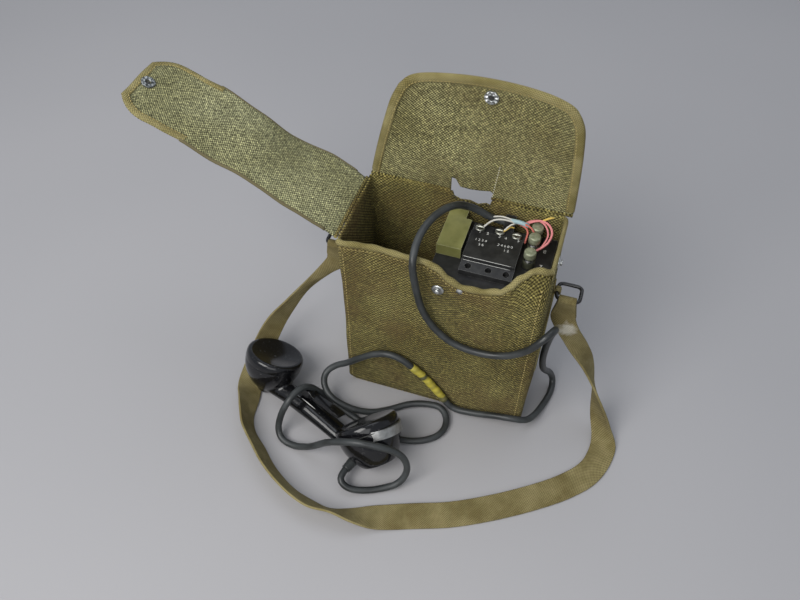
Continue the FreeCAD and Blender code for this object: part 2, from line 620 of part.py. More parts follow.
mesh_angle = math.atan2(rotor_z - dim.crank_level, rotor_y - dim.crank_back)
gear_at = Vector(65, dim.crank_back, dim.crank_level)
gear = toothed_wheel(int(dim.gear_teeth), dim.gear_width, dim.shaft_radius + dim.running_gap, gear_at,
                     mesh_angle)
node(coded("drive_gear", gear), "drive_gear")
pinion_step = math.tau / dim.pinion_teeth
pinion = toothed_wheel(int(dim.pinion_teeth), dim.gear_width + 1, 1, Vector(64.5, rotor_y, rotor_z),
                       mesh_angle + math.pi + pinion_step / 2)
rotor_axis = Vector(1, 0, 0)
iron = Part.makeCylinder(dim.rotor_radius, dim.rotor_right - dim.rotor_left,
                         Vector(dim.rotor_left, rotor_y, rotor_z), rotor_axis)
for side in (-1, 1):
    slot_y = rotor_y + (6 if side > 0 else -6 - 10)
    iron = iron.cut(Part.makeBox(80, 10, 9, Vector(0, slot_y, rotor_z - 4.5)))
spindle = bar(14, 2.5, 60, Vector(12, rotor_y, rotor_z), rotor_axis)
node(coded("generator_rotor", iron.fuse([spindle, pinion])), "generator_rotor")

arch_in = dim.rotor_radius + dim.air_gap
arch_out = arch_in + dim.magnet_thick
arch = Part.makeCylinder(arch_out, 32, Vector(20, rotor_y, rotor_z), rotor_axis)
legs = Part.makeBox(32, 2 * arch_out, rotor_z - dim.shelf_level - dim.sheet_metal - 0.3,
                    Vector(20, rotor_y - arch_out, dim.shelf_level + dim.sheet_metal + 0.3))
hollow = Part.makeCylinder(arch_in, 40, Vector(16, rotor_y, rotor_z), rotor_axis)
gap = Part.makeBox(40, 2 * arch_in, rotor_z - dim.shelf_level,
                   Vector(16, rotor_y - arch_in, dim.shelf_level))
node(coded("generator_magnets", arch.fuse(legs).cut(hollow.fuse(gap))), "generator_magnets")

plate_top = dim.crank_level + 10
frame_plates = []
for left in (13, 59):
    plate = Part.makeBox(2, 48, plate_top - dim.shelf_level - dim.sheet_metal,
                         Vector(left, -36, dim.shelf_level + dim.sheet_metal))
    way = bar(12, 2.65, 10, Vector(left - 4, rotor_y, rotor_z), rotor_axis)
    frame_plates.append(plate.cut(way))
crank_way = Part.makeCylinder(dim.shaft_radius + dim.running_gap, 10,
                              Vector(56, dim.crank_back, dim.crank_level), rotor_axis)
frame_plates[1] = frame_plates[1].cut(crank_way)
tie = Part.makeBox(44, 1.6, 6, Vector(15, 10.4, dim.shelf_level + dim.sheet_metal))
node(coded("generator_frame", frame_plates[0].fuse([frame_plates[1], tie])), "generator_frame")

node(rod("crank_spindle", "shaft_radius", 25, (59, "crank_back", "crank_level"), "x"), "crank_shaft")
hub_right = "side_plate_at + sheet_metal + 4"
arm_hub = prism("arm_hub", 16, 7, 8, ("side_plate_at + sheet_metal + 1", "crank_back", "crank_level"), "x")
arm_bar = box("arm_bar", 2.6, 11, "crank_arm_length + 5",
              (hub_right, "crank_back - 5.5", "crank_level - crank_arm_length - 5"))
ear_left = box("ear_left", 8, 2, 9, (hub_right, "crank_back - knob_radius - 2.4",
                                     "crank_level - crank_arm_length - 4.5"))
ear_right = box("ear_right", 8, 2, 9, (hub_right, "crank_back + knob_radius + 0.4",
                                       "crank_level - crank_arm_length - 4.5"))
arm_bore = rod("arm_bore", "shaft_radius + running_gap", 4.2, ("side_plate_at", "crank_back",
                                                                "crank_level"), "x")
arm_foot = box("arm_foot", 2.6, "2 * knob_radius + 4.8", 9,
               (hub_right, "crank_back - knob_radius - 2.4", "crank_level - crank_arm_length - 4.5"))
knob_x = "side_plate_at + sheet_metal + 4 + 2.6 + knob_radius + 0.4"
knob_level = "crank_level - crank_arm_length"
arm_pin = prism("arm_pin", 10, 1.4, "2 * knob_radius + 4.8", (knob_x, "crank_back - knob_radius - 2.4",
                                                             knob_level), "y")
arm_solid = fuse("crank_arm_solid", arm_hub, arm_bar, arm_foot, ear_left, ear_right)
node(fuse("crank_arm_whole", cut("crank_arm_cut", arm_solid, arm_bore), arm_pin), "crank_arm")
knob_at = Vector(dim.side_plate_at + dim.sheet_metal + 7 + dim.knob_radius, dim.crank_back,
                 dim.crank_level - dim.crank_arm_length)
knob_stem = bar(16, dim.knob_radius, dim.knob_length - 2, knob_at + Vector(0, 0, 2), Vector(0, 0, 1))
knob_root = bar(16, dim.knob_radius, 2 * dim.knob_radius, knob_at - rearward * dim.knob_radius, rearward)
knob_bore = bar(10, 1.6, 4 * dim.knob_radius, knob_at - rearward * 2 * dim.knob_radius, rearward)
node(coded("knob", knob_root.cut(knob_bore).fuse(knob_stem)), "crank_knob")

# Ringer on the chassis: two gongs, two coils and a clapper between them
gong_x = (10, 56)
ringer_y = -30
plate_y = ringer_y + 12
bridge = Part.makeBox(64, 3, 12, Vector(1, plate_y, dim.ringer_level - 6))
stand = Part.makeBox(10, 3, 28, Vector(28, plate_y, dim.ringer_level - 6))
ledge = Part.makeBox(91.8, 3, 6, Vector(-12.1, plate_y, dim.ringer_level + 14))
pillars = [bar(10, 2.4, 16, Vector(x, plate_y - 16, dim.ringer_level), rearward)
           for x in gong_x]
clapper_level = dim.ringer_level + 18
clapper_pin = bar(10, 1.2, 6, Vector(33, plate_y - 6, clapper_level), rearward)
node(coded("ringer_frame", bridge.fuse([stand, ledge, clapper_pin] + pillars)), "ringer_frame")


def gong(x):
    """A shallow bell, open to the back, on its pillar."""
    rim = dim.gong_radius
    wall = 1.6
    bell = dish(18, [(rim, 0), (rim - 4, 7), (4, 10.4)])
    inside = dish(18, [(rim - wall, -0.01), (rim - 5.4, 6), (4, 10.4 - wall)])
    bell = bell.cut([inside, bar(12, 2.7, 20, Vector(0, 0, 0), Vector(0, 0, 1))])
    bell.Placement = Placement(Vector(x, plate_y - 4.4, dim.ringer_level), Rotation(Vector(1, 0, 0), 90))
    return bell


node(coded("ringer_gongs", Part.makeCompound([gong(x) for x in gong_x])), "ringer_gongs")
coils = []
for n, x in enumerate((24, 42)):
    core = prism(f"coil_core_{n}", 8, 2.4, 38, (x, plate_y + 3.3, "ringer_level"), "y")
    winding = prism(f"coil_winding_{n}", 16, 7.5, 34, (x, plate_y + 6, "ringer_level"), "y")
    coils += [core, winding]
yoke = box("coil_yoke", 26, 3, 10, (20, plate_y + 41, "ringer_level - 5"))
node(fuse("coil_pair", *coils, yoke), "ringer_coils")
clapper_rod = Part.makeBox(2, 2, 26, Vector(32, plate_y - 4, clapper_level - 26))
clapper_ball = bar(12, 3, 4, Vector(33, plate_y - 5, clapper_level - 28), rearward)
clapper_eye = bar(12, 3.4, 3, Vector(33, plate_y - 3.4, clapper_level), rearward)
eye_bore = bar(10, 1.4, 20, Vector(33, plate_y - 10, clapper_level), rearward)
node(coded("clapper", clapper_rod.fuse([clapper_ball, clapper_eye]).cut(eye_bore)), "clapper")

shelf_top = "shelf_level + sheet_metal"
coil_body = rod("coil_body", 11, 50, (10, 28, f"{shelf_top} + 12.3"), "x")
cheeks = [box(f"coil_cheek_{n}", 2, 24, 24, (x, 16, f"{shelf_top} + 0.3")) for n, x in enumerate((8, 60))]
node(fuse("induction", coil_body, *cheeks), "induction_coil")
node(box("capacitor_can", 18, 20, 46, ("unit_left + sheet_metal + 0.3", 16, shelf_top)), "capacitor")

# Handset, laid on its back: its own frame runs along the grip, with its face side up
handset_base = Vector(-177, -88.4, 10.5)
grip_way = Vector(0.94, -0.342, 0).normalize()
face_way = (up * 0.857 + grip_way.cross(up) * -0.515).normalize()
side_way = face_way.cross(grip_way)
handset_place = Placement(handset_base, Rotation(grip_way, side_way, face_way, "ZXY"))
tilt = math.radians(dim.transmitter_tilt)
transmitter_base = Vector(dim.transmitter_reach, 0, 3.8)
transmitter_place = Placement(transmitter_base, Rotation(Vector(0, 1, 0), -dim.transmitter_tilt))


def cup(radius, depth, neck, toe):
    """The outside of a bell-shaped cup with its mouth up, tapered to its neck."""
    bulge = (radius + neck) / 2 + 4
    return lathe([(0, -toe), (neck * 0.6, -toe), (neck, 0), (bulge, depth * 0.3), (radius - 1, depth * 0.66),
                  (radius - 1, depth - 11.2), (0, depth - 11.2)])


def cavity(radius, depth, neck, wall):
    """The space inside a cup, open at its mouth."""
    inner = radius - 1 - wall
    return lathe([(0, 6), (neck * 0.5, 6), (inner, depth * 0.66), (inner, depth), (0, depth)])


grip_sides = 14


def oval(x, z, half_across, half_up):
    """A cross-section of the grip, with flats."""
    turns = [math.tau * n / grip_sides for n in range(grip_sides)]
    corners = [Vector(x, half_across * math.cos(turn), z + half_up * math.sin(turn)) for turn in turns]
    return Part.makePolygon(corners + corners[:1])


grip = Part.makeLoft([oval(6, 6, 13, 9.5), oval(34, 8, dim.grip_half_width, dim.grip_half_height),
                      oval(110, 3.6, dim.grip_half_width, 8.3), oval(150, 4, 13, 8.5)], True, True)
receiver_shell = cup(dim.receiver_radius, dim.receiver_depth, dim.receiver_neck, 7)
transmitter_shell = cup(dim.transmitter_radius, dim.transmitter_depth, dim.transmitter_neck, 0.5)
transmitter_shell.Placement = transmitter_place


receiver_cavity = cavity(dim.receiver_radius, dim.receiver_depth, dim.receiver_neck, dim.cap_wall)
transmitter_cavity = cavity(dim.transmitter_radius, dim.transmitter_depth, dim.transmitter_neck,
                            dim.cap_wall)
transmitter_cavity.Placement = transmitter_place
lever_x = 50
lever_z = 8.5 + dim.grip_half_height + 4.5
ears = [Part.makeBox(9, 2, 11, Vector(lever_x - 4.5, side, lever_z - 8))
        for side in (-dim.lever_width / 2 - 2.4, dim.lever_width / 2 + 0.4)]
lever_pin = bar(10, 1.2, dim.lever_width + 4, Vector(lever_x, -dim.lever_width / 2 - 2, lever_z),
                rearward)
grip_solid = grip.fuse([receiver_shell, transmitter_shell, lever_pin] + ears).cut([receiver_cavity, transmitter_cavity])
gland_way = Vector(-0.34, -0.94, 0)
gland_mouth = Vector(-56.5, -158, 14)
handle = coded("handle", max(grip_solid.Solids, key=lambda part: part.Volume))
handle.Placement = handset_place
node(handle, "handset_handle")


def cap(radius, depth, dish, holes_at, hole):
    """A screw-on ring cap with a dished, pierced face."""
    low = depth - 11
    shell = lathe([(radius - 1 - dim.cap_wall, low), (radius, low), (radius, depth - 2.5), (radius - 2, depth),
                   (radius - 7, depth - 0.8), (holes_at + 3, depth - dish), (0, depth - dish),
                   (0, depth - dish - 2.4), (radius - 1 - dim.cap_wall, depth - dish - 2.4)])
    bores = []
    for x, y in [(0, 0)] + [(holes_at * math.cos(math.tau * n / 6), holes_at * math.sin(math.tau * n / 6))
                            for n in range(6)]:
        ring = [Vector(x + hole * math.cos(math.tau * n / 6), y + hole * math.sin(math.tau * n / 6), depth - 20)
                for n in range(7)]
        bores.append(Part.Face(Part.makePolygon(ring)).extrude(Vector(0, 0, 30)))
    return shell.cut(bores)


receiver_cap = coded("receiver_ring", cap(dim.receiver_radius, dim.receiver_depth, 5, 8, 1.3))
receiver_cap.Placement = handset_place
node(receiver_cap, "receiver_cap")
transmitter_cap = coded("transmitter_ring", cap(dim.transmitter_radius, dim.transmitter_depth, 3, 10, 1.6))
transmitter_cap.Placement = handset_place.multiply(transmitter_place)
node(transmitter_cap, "transmitter_cap")


def capsule(radius, depth, dish):
    """The disc that fills the space between the cup and its cap."""
    low = depth * 0.66 + 0.4
    return Part.makeCylinder(radius - 1 - dim.cap_wall - 0.4, depth - dish - 2.8 - low, Vector(0, 0, low))


receiver_capsule = capsule(dim.receiver_radius, dim.receiver_depth, 5)
transmitter_capsule = capsule(dim.transmitter_radius, dim.transmitter_depth, 3)
transmitter_capsule.Placement = transmitter_place
capsules = coded("capsules", Part.makeCompound([receiver_capsule, transmitter_capsule]))
capsules.Placement = handset_place
node(capsules, "handset_capsules")

lever_bar = box("lever_bar", "lever_length", "lever_width", 3.4, (lever_x - 3, "-lever_width / 2",
                                                                  lever_z - 1.7))
lever_barrel = prism("lever_barrel", 12, 3.2, "lever_width", (lever_x, "-lever_width / 2", lever_z), "y")
lever_hump = prism("lever_hump", 16, 5, "lever_width", (lever_x + 6, "-lever_width / 2", lever_z + 0.4), "y")
lever_bore = rod("lever_bore", 1.25, "lever_width + 4", (lever_x, "-lever_width / 2 - 2", lever_z), "y")
lever = cut("lever", fuse("lever_solid", lever_bar, lever_barrel, lever_hump), lever_bore)
lever.Placement = handset_place
node(lever, "talk_lever")

# Cord: the point lists run from the terminals to the splice, over the splice, and on to the handset
upper_route = [
    (39.8, 38.5, 208), (29, 38.5, 208), (15, 36, 217), (2, 27, 229), (-8, 12, 237.5), (-17, -6, 240), (-23, -26, 237),
    (-24, -42, 233), (-22.5, -55.5, 224), (-20, -57, 208), (-17.5, -55, 187), (-13, -54, 164),
    (-1, -53.8, 141), (18, -53.8, 124), (42, -53.8, 119), (67, -53.8, 123), (86, -54, 137), (97.5, -55, 156),
    (107, -46, 166), (111, -31, 157), (107, -23, 134), (105, -19, 108), (104.8, -15, 84),
    (107, -8, 60), (111, 5, 39), (116, 17, 22), (121, 18, 8.5), (122, 5, 4), (118, -12, 4.5),
    (112, -33, 10), (104.5, -50, 19), (88, -55, 23.5), (72, -54.5, 19.5), (57, -54, 14), (43, -54, 11),
    (31.5, -54, 9.5), (22.5, -53.4, 12), (16.5, -53.3, 20.5)]
tape_route = [(16.5, -53.3, 20.5), (3.3, -53.08, 39.2), (-9.5, -53.2, 55.5), (-21.5, -53.8, 66.5)]
lower_route = [
    (-21.5, -53.8, 66.5), (-32.3, -54.34, 76.4), (-46, -54.5, 79.5), (-61, -54.5, 73.5), (-77, -55, 60),
    (-93, -56.5, 42), (-106, -59.5, 26), (-113, -68, 16), (-109, -80, 13.5), (-95, -88, 13), (-76, -89, 9.5),
    (-57, -84, 5), (-39, -73, 4), (-22, -61, 6), (-4, -55, 9.5), (12, -57, 9), (23, -68, 6), (21, -84, 4),
    (8, -98, 4), (-13, -105, 4), (-37, -103, 4), (-61, -98, 4), (-84, -90, 4), (-104, -83, 6),
    (-119, -79, 16), (-129, -83, 36.5), (-136, -96, 47), (-142, -111, 47), (-149, -124, 34), (-153, -136, 18),
    (-144, -148, 5), (-128, -154, 4), (-110, -156, 7), (-96, -156, 22), (-85, -157, 40), (-70, -155, 57),
    (-50, -149, 68), (-29, -145, 67), (-10, -144, 54), (4, -147, 36), (9, -154, 17), (4, -164, 5),
    (-11, -172, 4), (-29, -176, 4.5), (-47, -179, 8), (-60.92, -170.22, 14), (-56.57, -158.19, 14)]
node(coded("upper_cord", tube_along(upper_route, dim.cord_radius, report="cord_upper")), "cord_upper")
node(coded("splice_tape", tube_along(tape_route, dim.tape_radius, report="cord_tape")), "cord_tape")
node(coded("lower_cord", tube_along(lower_route, dim.cord_radius, report="cord_lower")), "cord_lower")
gland_back = gland_mouth - gland_way * 14
gland_shape = Part.makeCone(5.6, 4.6, 14, gland_back, gland_way)
gland = coded("gland", gland_shape.cut(handle.Shape))
node(gland, "handset_gland")

doc.recompute()
for thing in doc.Objects:
    if {"Invalid", "Error"} & set(thing.State):
        raise ValueError(f"{thing.Label} failed: {thing.State}")
os.makedirs("parts", exist_ok=True)
for piece in nodes:
    shape = piece.Shape
    if shape.isNull() or not shape.isValid() or not shape.Solids:
        raise ValueError(f"{piece.Label} has no valid solid")
    shape.exportStep(f"parts/{piece.Label}.step")
print(len(nodes), "nodes,", sum(len(piece.Shape.Solids) for piece in nodes), "solids")
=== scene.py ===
import math

import bmesh
import bpy
from mathutils import Matrix, Vector, noise


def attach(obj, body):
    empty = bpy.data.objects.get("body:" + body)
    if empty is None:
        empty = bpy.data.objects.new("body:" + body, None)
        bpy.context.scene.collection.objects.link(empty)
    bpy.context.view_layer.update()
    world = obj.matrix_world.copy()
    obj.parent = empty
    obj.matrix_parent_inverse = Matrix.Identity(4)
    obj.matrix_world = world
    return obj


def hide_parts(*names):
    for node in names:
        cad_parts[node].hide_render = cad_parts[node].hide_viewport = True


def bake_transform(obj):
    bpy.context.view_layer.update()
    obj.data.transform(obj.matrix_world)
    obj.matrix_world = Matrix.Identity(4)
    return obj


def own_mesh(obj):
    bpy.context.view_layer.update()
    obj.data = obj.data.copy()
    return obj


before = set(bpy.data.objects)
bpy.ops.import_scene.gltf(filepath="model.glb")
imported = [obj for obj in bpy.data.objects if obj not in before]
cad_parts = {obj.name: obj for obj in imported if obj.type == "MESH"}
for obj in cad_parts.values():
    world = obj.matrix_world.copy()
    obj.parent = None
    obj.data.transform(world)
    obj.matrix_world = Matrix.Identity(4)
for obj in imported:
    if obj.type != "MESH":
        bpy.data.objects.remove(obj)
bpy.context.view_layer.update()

UP = Vector((0, 0, 1))
FRONT = Vector((0, -1, 0))
QUARTER = math.pi / 2
CORD_RADIUS = 0.0035
TAPE_SPAN = 0.064
CLOTH = 0.0022
FLAT = 0.0013


def mm(*points):
    """Points given in millimetres, in metres."""
    return [tuple(round(value / 1000, 6) for value in point) for point in points]


UPPER_ROUTE = mm(
    (39.8, 38.5, 208), (29, 38.5, 208), (15, 36, 217), (2, 27, 229), (-8, 12, 237.5), (-17, -6, 240),
    (-23, -26, 237), (-24, -42, 233), (-22.5, -55.5, 224), (-20, -57, 208), (-17.5, -55, 187),
    (-13, -54, 164), (-1, -53.8, 141), (18, -53.8, 124), (42, -53.8, 119), (67, -53.8, 123), (86, -54, 137),
    (97.5, -55, 156), (107, -46, 166), (111, -31, 157), (107, -23, 134), (105, -19, 108), (104.8, -15, 84),
    (107, -8, 60), (111, 5, 39), (116, 17, 22), (121, 18, 8.5), (122, 5, 4), (118, -12, 4.5), (112, -33, 10),
    (104.5, -50, 19), (88, -55, 23.5), (72, -54.5, 19.5), (57, -54, 14), (43, -54, 11), (31.5, -54, 9.5),
    (22.5, -53.4, 12), (16.5, -53.3, 20.5))
TAPE_ROUTE = mm((16.5, -53.3, 20.5), (3.3, -53.08, 39.2), (-9.5, -53.2, 55.5), (-21.5, -53.8, 66.5))
LOWER_ROUTE = mm(
    (-21.5, -53.8, 66.5), (-32.3, -54.34, 76.4), (-46, -54.5, 79.5), (-61, -54.5, 73.5), (-77, -55, 60),
    (-92, -56.8, 46), (-105, -57.8, 38), (-115, -64.5, 30.5), (-113.5, -77, 25.5), (-101.5, -87.5, 18.5),
    (-78, -89.3, 10.5), (-57, -84, 5), (-39, -73, 4), (-22, -61, 6), (-4.6, -55.5, 7), (13.6, -54, 7),
    (24.1, -66.9, 5), (22.9, -84.3, 4), (8, -98, 4), (-13, -105, 4), (-37, -103, 4), (-61, -98, 4),
    (-84, -90, 4), (-103, -82.5, 4), (-113, -84.8, 19), (-122.3, -94.5, 43.5), (-129.6, -107.1, 47),
    (-134.4, -121.4, 43), (-140.7, -128.1, 26), (-142.4, -136.2, 10), (-134.7, -144.1, 4),
    (-119.6, -146.7, 4), (-104, -147.1, 12), (-92.9, -148.5, 24), (-81.4, -149.3, 38), (-65.9, -152.7, 54),
    (-46.9, -153.1, 64), (-28.6, -149.8, 62), (-11.9, -144.5, 54), (-0.3, -141.5, 40), (4.9, -144.8, 22),
    (-1.7, -154, 7), (-16, -162.4, 4), (-31.2, -170.1, 4), (-49.1, -176.3, 8), (-60.92, -170.22, 14),
    (-56.57, -158.19, 14))


# Geometry helpers
def smooth(points, steps=6):
    """Points along a smooth curve through the given ones."""
    spots = [Vector(point) for point in points]
    ends = [2 * spots[0] - spots[1]] + spots + [2 * spots[-1] - spots[-2]]
    line = []
    for a, b, c, d in zip(ends, ends[1:], ends[2:], ends[3:]):
        for step in range(steps):
            t = step / steps
            line.append(0.5 * (2 * b + (c - a) * t + (2 * a - 5 * b + 4 * c - d) * t ** 2
                               + (3 * b - a - 3 * c + d) * t ** 3))
    return line + [spots[-1]]


def table(pairs, value):
    """A smooth value between the rows of a table of place and value."""
    if value <= pairs[0][0]:
        return pairs[0][1]
    for (a, low), (b, high) in zip(pairs, pairs[1:]):
        if value <= b:
            t = (value - a) / (b - a)
            return low + (high - low) * t * t * (3 - 2 * t)
    return pairs[-1][1]


def circle(radius, count):
    """Pairs of across and up, evenly round a circle."""
    turns = [math.tau * n / count for n in range(count)]
    return [(radius * math.cos(turn), radius * math.sin(turn)) for turn in turns]


def link(name, mesh, finish):
    piece = bpy.data.objects.new(name, mesh)
    bpy.context.scene.collection.objects.link(piece)
    mesh.materials.append(MATERIALS[finish])
    return piece


def grid(name, rows, finish, around=False):
    """A mesh through rows of points, with UVs in metres along and across."""
    count = len(rows[0])
    wrap = count + 1 if around else count
    along = [0.0]
    for a, b in zip(rows, rows[1:]):
        along.append(along[-1] + sum((Vector(p) - Vector(q)).length for p, q in zip(a, b)) / count)
    middle = rows[len(rows) // 2]
    across = [0.0]
    for n in range(1, wrap):
        across.append(across[-1] + (Vector(middle[n % count]) - Vector(middle[n - 1])).length)
    faces, spots = [], []
    for i in range(len(rows) - 1):
        for j in range(wrap - 1):
            corners = [(i, j), (i, j + 1), (i + 1, j + 1), (i + 1, j)]
            faces.append([r * count + c % count for r, c in corners])
            spots += [(across[c], along[r]) for r, c in corners]
    mesh = bpy.data.meshes.new(name)
    mesh.from_pydata([tuple(point) for row in rows for point in row], [], faces)
    layer = mesh.uv_layers.new(name="UVMap")
    for loop, spot in zip(layer.data, spots):
        loop.uv = spot
    mesh.polygons.foreach_set("use_smooth", [True] * len(mesh.polygons))
    return link(name, mesh, finish)


def bake(piece):
    """Apply a piece's modifiers to its mesh."""
    graph = bpy.context.evaluated_depsgraph_get()
    piece.data = bpy.data.meshes.new_from_object(piece.evaluated_get(graph))
    piece.modifiers.clear()
    return piece


def thicken(piece, thickness, offset=0.0):
    solid = piece.modifiers.new("thick", "SOLIDIFY")
    solid.thickness = thickness
    solid.offset = offset
    return bake(piece)


def spin(name, profile, finish, place, steps, ripple=None):
    """A lathe form from radius and height, smooth, with its own place."""
    rows = []
    for radius, height in profile:
        ring = []
        for n, (x, y) in enumerate(circle(radius, steps)):
            lift = ripple(radius, math.tau * n / steps) if ripple else 0
            ring.append(Vector((x, y, height + lift)))
        rows.append(ring)
    piece = grid(name, rows, finish, around=True)
    piece.data.transform(place)
    return piece


def tube(name, line, radius, finish, sides=12, closed=False):
    """A round tube of even or varying radius along a line of points."""
    spots = [Vector(point) for point in line]
    count = len(spots)
    rows = []
    side = None
    for n, spot in enumerate(spots):
        ahead = spots[(n + 1) % count] if closed or n + 1 < count else spot
        back = spots[n - 1] if closed or n else spot
        way = (ahead - back).normalized()
        if side is None:
            side = way.orthogonal().normalized()
        side = (side - way * side.dot(way)).normalized()
        other = way.cross(side)
        size = radius(n / (count - 1)) if callable(radius) else radius
        rows.append([spot + side * size * math.cos(math.tau * k / sides)
                     + other * size * math.sin(math.tau * k / sides) for k in range(sides)])
    if closed:
        rows.append(rows[0])
    piece = grid(name, rows, finish, around=True)
    if not closed:
        cap_ends(piece, end_rings(sides, count))
    return piece


def end_rings(sides, rows):
    """The first and last rings of a closed grid, as vertex numbers facing out."""
    return [list(range(sides))[::-1], list(range((rows - 1) * sides, rows * sides))]


def cap_ends(piece, ends):
    """Close a mesh's open ends with faces."""
    shape = bmesh.new()
    shape.from_mesh(piece.data)
    shape.verts.ensure_lookup_table()
    for ring in ends:
        shape.faces.new([shape.verts[n] for n in ring])
    shape.to_mesh(piece.data)
    shape.free()


def join(target, others):
    """Merge meshes into one piece."""
    shape = bmesh.new()
    shape.from_mesh(target.data)
    for other in others:
        shape.from_mesh(other.data)
        bpy.data.objects.remove(other)
    shape.to_mesh(target.data)
    shape.free()


def carve(piece, cutter):
    """Cut one mesh out of another."""
    bite = piece.modifiers.new("bite", "BOOLEAN")
    bite.object = cutter
    bite.operation = "DIFFERENCE"
    bite.solver = "EXACT"
    bake(piece)
    bpy.data.objects.remove(cutter)


def slab(name, outline, near, far):
    """A block between two depths, with an outline of across and up."""
    rows = [[Vector((x, y, z)) for x, z in outline] for y in (near, far)]
    piece = grid(name, rows, "canvas", around=True)
    cap_ends(piece, [ring[::-1] for ring in end_rings(len(outline), 2)])
    return piece


def add_route(curve, points):
    route = curve.splines.new("NURBS")
    route.points.add(len(points) - 1)
    for spot, point in zip(route.points, points):
        spot.co = (*point, 1)
    route.order_u = 3
    route.use_endpoint_u = True
    route.resolution_u = 14


def spline_line(points):
    """Points read from the smooth curve that a route controls."""
    curve = bpy.data.curves.new("line", "CURVE")
    curve.dimensions = "3D"
    add_route(curve, points)
    holder = bpy.data.objects.new("line", curve)
    mesh = bpy.data.meshes.new_from_object(holder)
    line = [vertex.co.copy() for vertex in mesh.vertices]
    bpy.data.objects.remove(holder)
    return line


def ribbon(name, stations, width, thickness, finish, steps=6):
    """A flat band through stations of centre, width direction and share of the width."""
    centres = smooth([centre for centre, *_ in stations], steps)
    ways = smooth([Vector(way).normalized() for _, way, *_ in stations], steps)
    shares = smooth([(share[0] if share else 1, 0, 0) for _, _, *share in stations], steps)
    rows = []
    for centre, way, share in zip(centres, ways, shares):
        half = way.normalized() * width / 2 * share.x
        centre = centre + UP * max(0.0, FLAT - (centre.z - abs(half.z)))
        rows.append([centre + half * step for step in (-1, -0.93, -0.6, -0.2, 0.2, 0.6, 0.93, 1)])
    return thicken(grid(name, rows, finish), thickness)


STITCH = [(-0.5, 0, 0), (-0.3, 1, 0.4), (0.3, 1, 0.4), (0.5, 0, 0), (0.3, -1, 0.4), (-0.3, -1, 0.4),
          (-0.25, 0, 1), (0.25, 0, 1)]
STITCH_FACES = [(0, 1, 6), (1, 2, 7, 6), (2, 3, 7), (3, 4, 7), (4, 5, 6, 7), (5, 0, 6)]


def stitches(name, line, facing, finish, pitch=0.0034, length=0.0022, width=0.0008):
    """Raised thread dashes along a line of points, on the side that facing gives."""
    spots = [Vector(point) for point in line]
    out = Vector(facing).normalized()
    vertices, faces = [], []
    reach = 0.0
    for a, b in zip(spots, spots[1:]):
        step = b - a
        way = step.normalized()
        side = way.cross(out).normalized()
        lean = side * (0.12 * length)
        while reach < step.length:
            centre = a + way * reach
            faces += [[len(vertices) + k for k in face] for face in STITCH_FACES]
            vertices += [centre + way * (s * length) + side * (w * width / 2) + out * (h * width * 0.6)
                         + lean * s for s, w, h in STITCH]
            reach += pitch
        reach -= step.length
    mesh = bpy.data.meshes.new(name)
    mesh.from_pydata([tuple(v) for v in vertices], [], faces)
    mesh.polygons.foreach_set("use_smooth", [True] * len(faces))
    return link(name, mesh, finish)


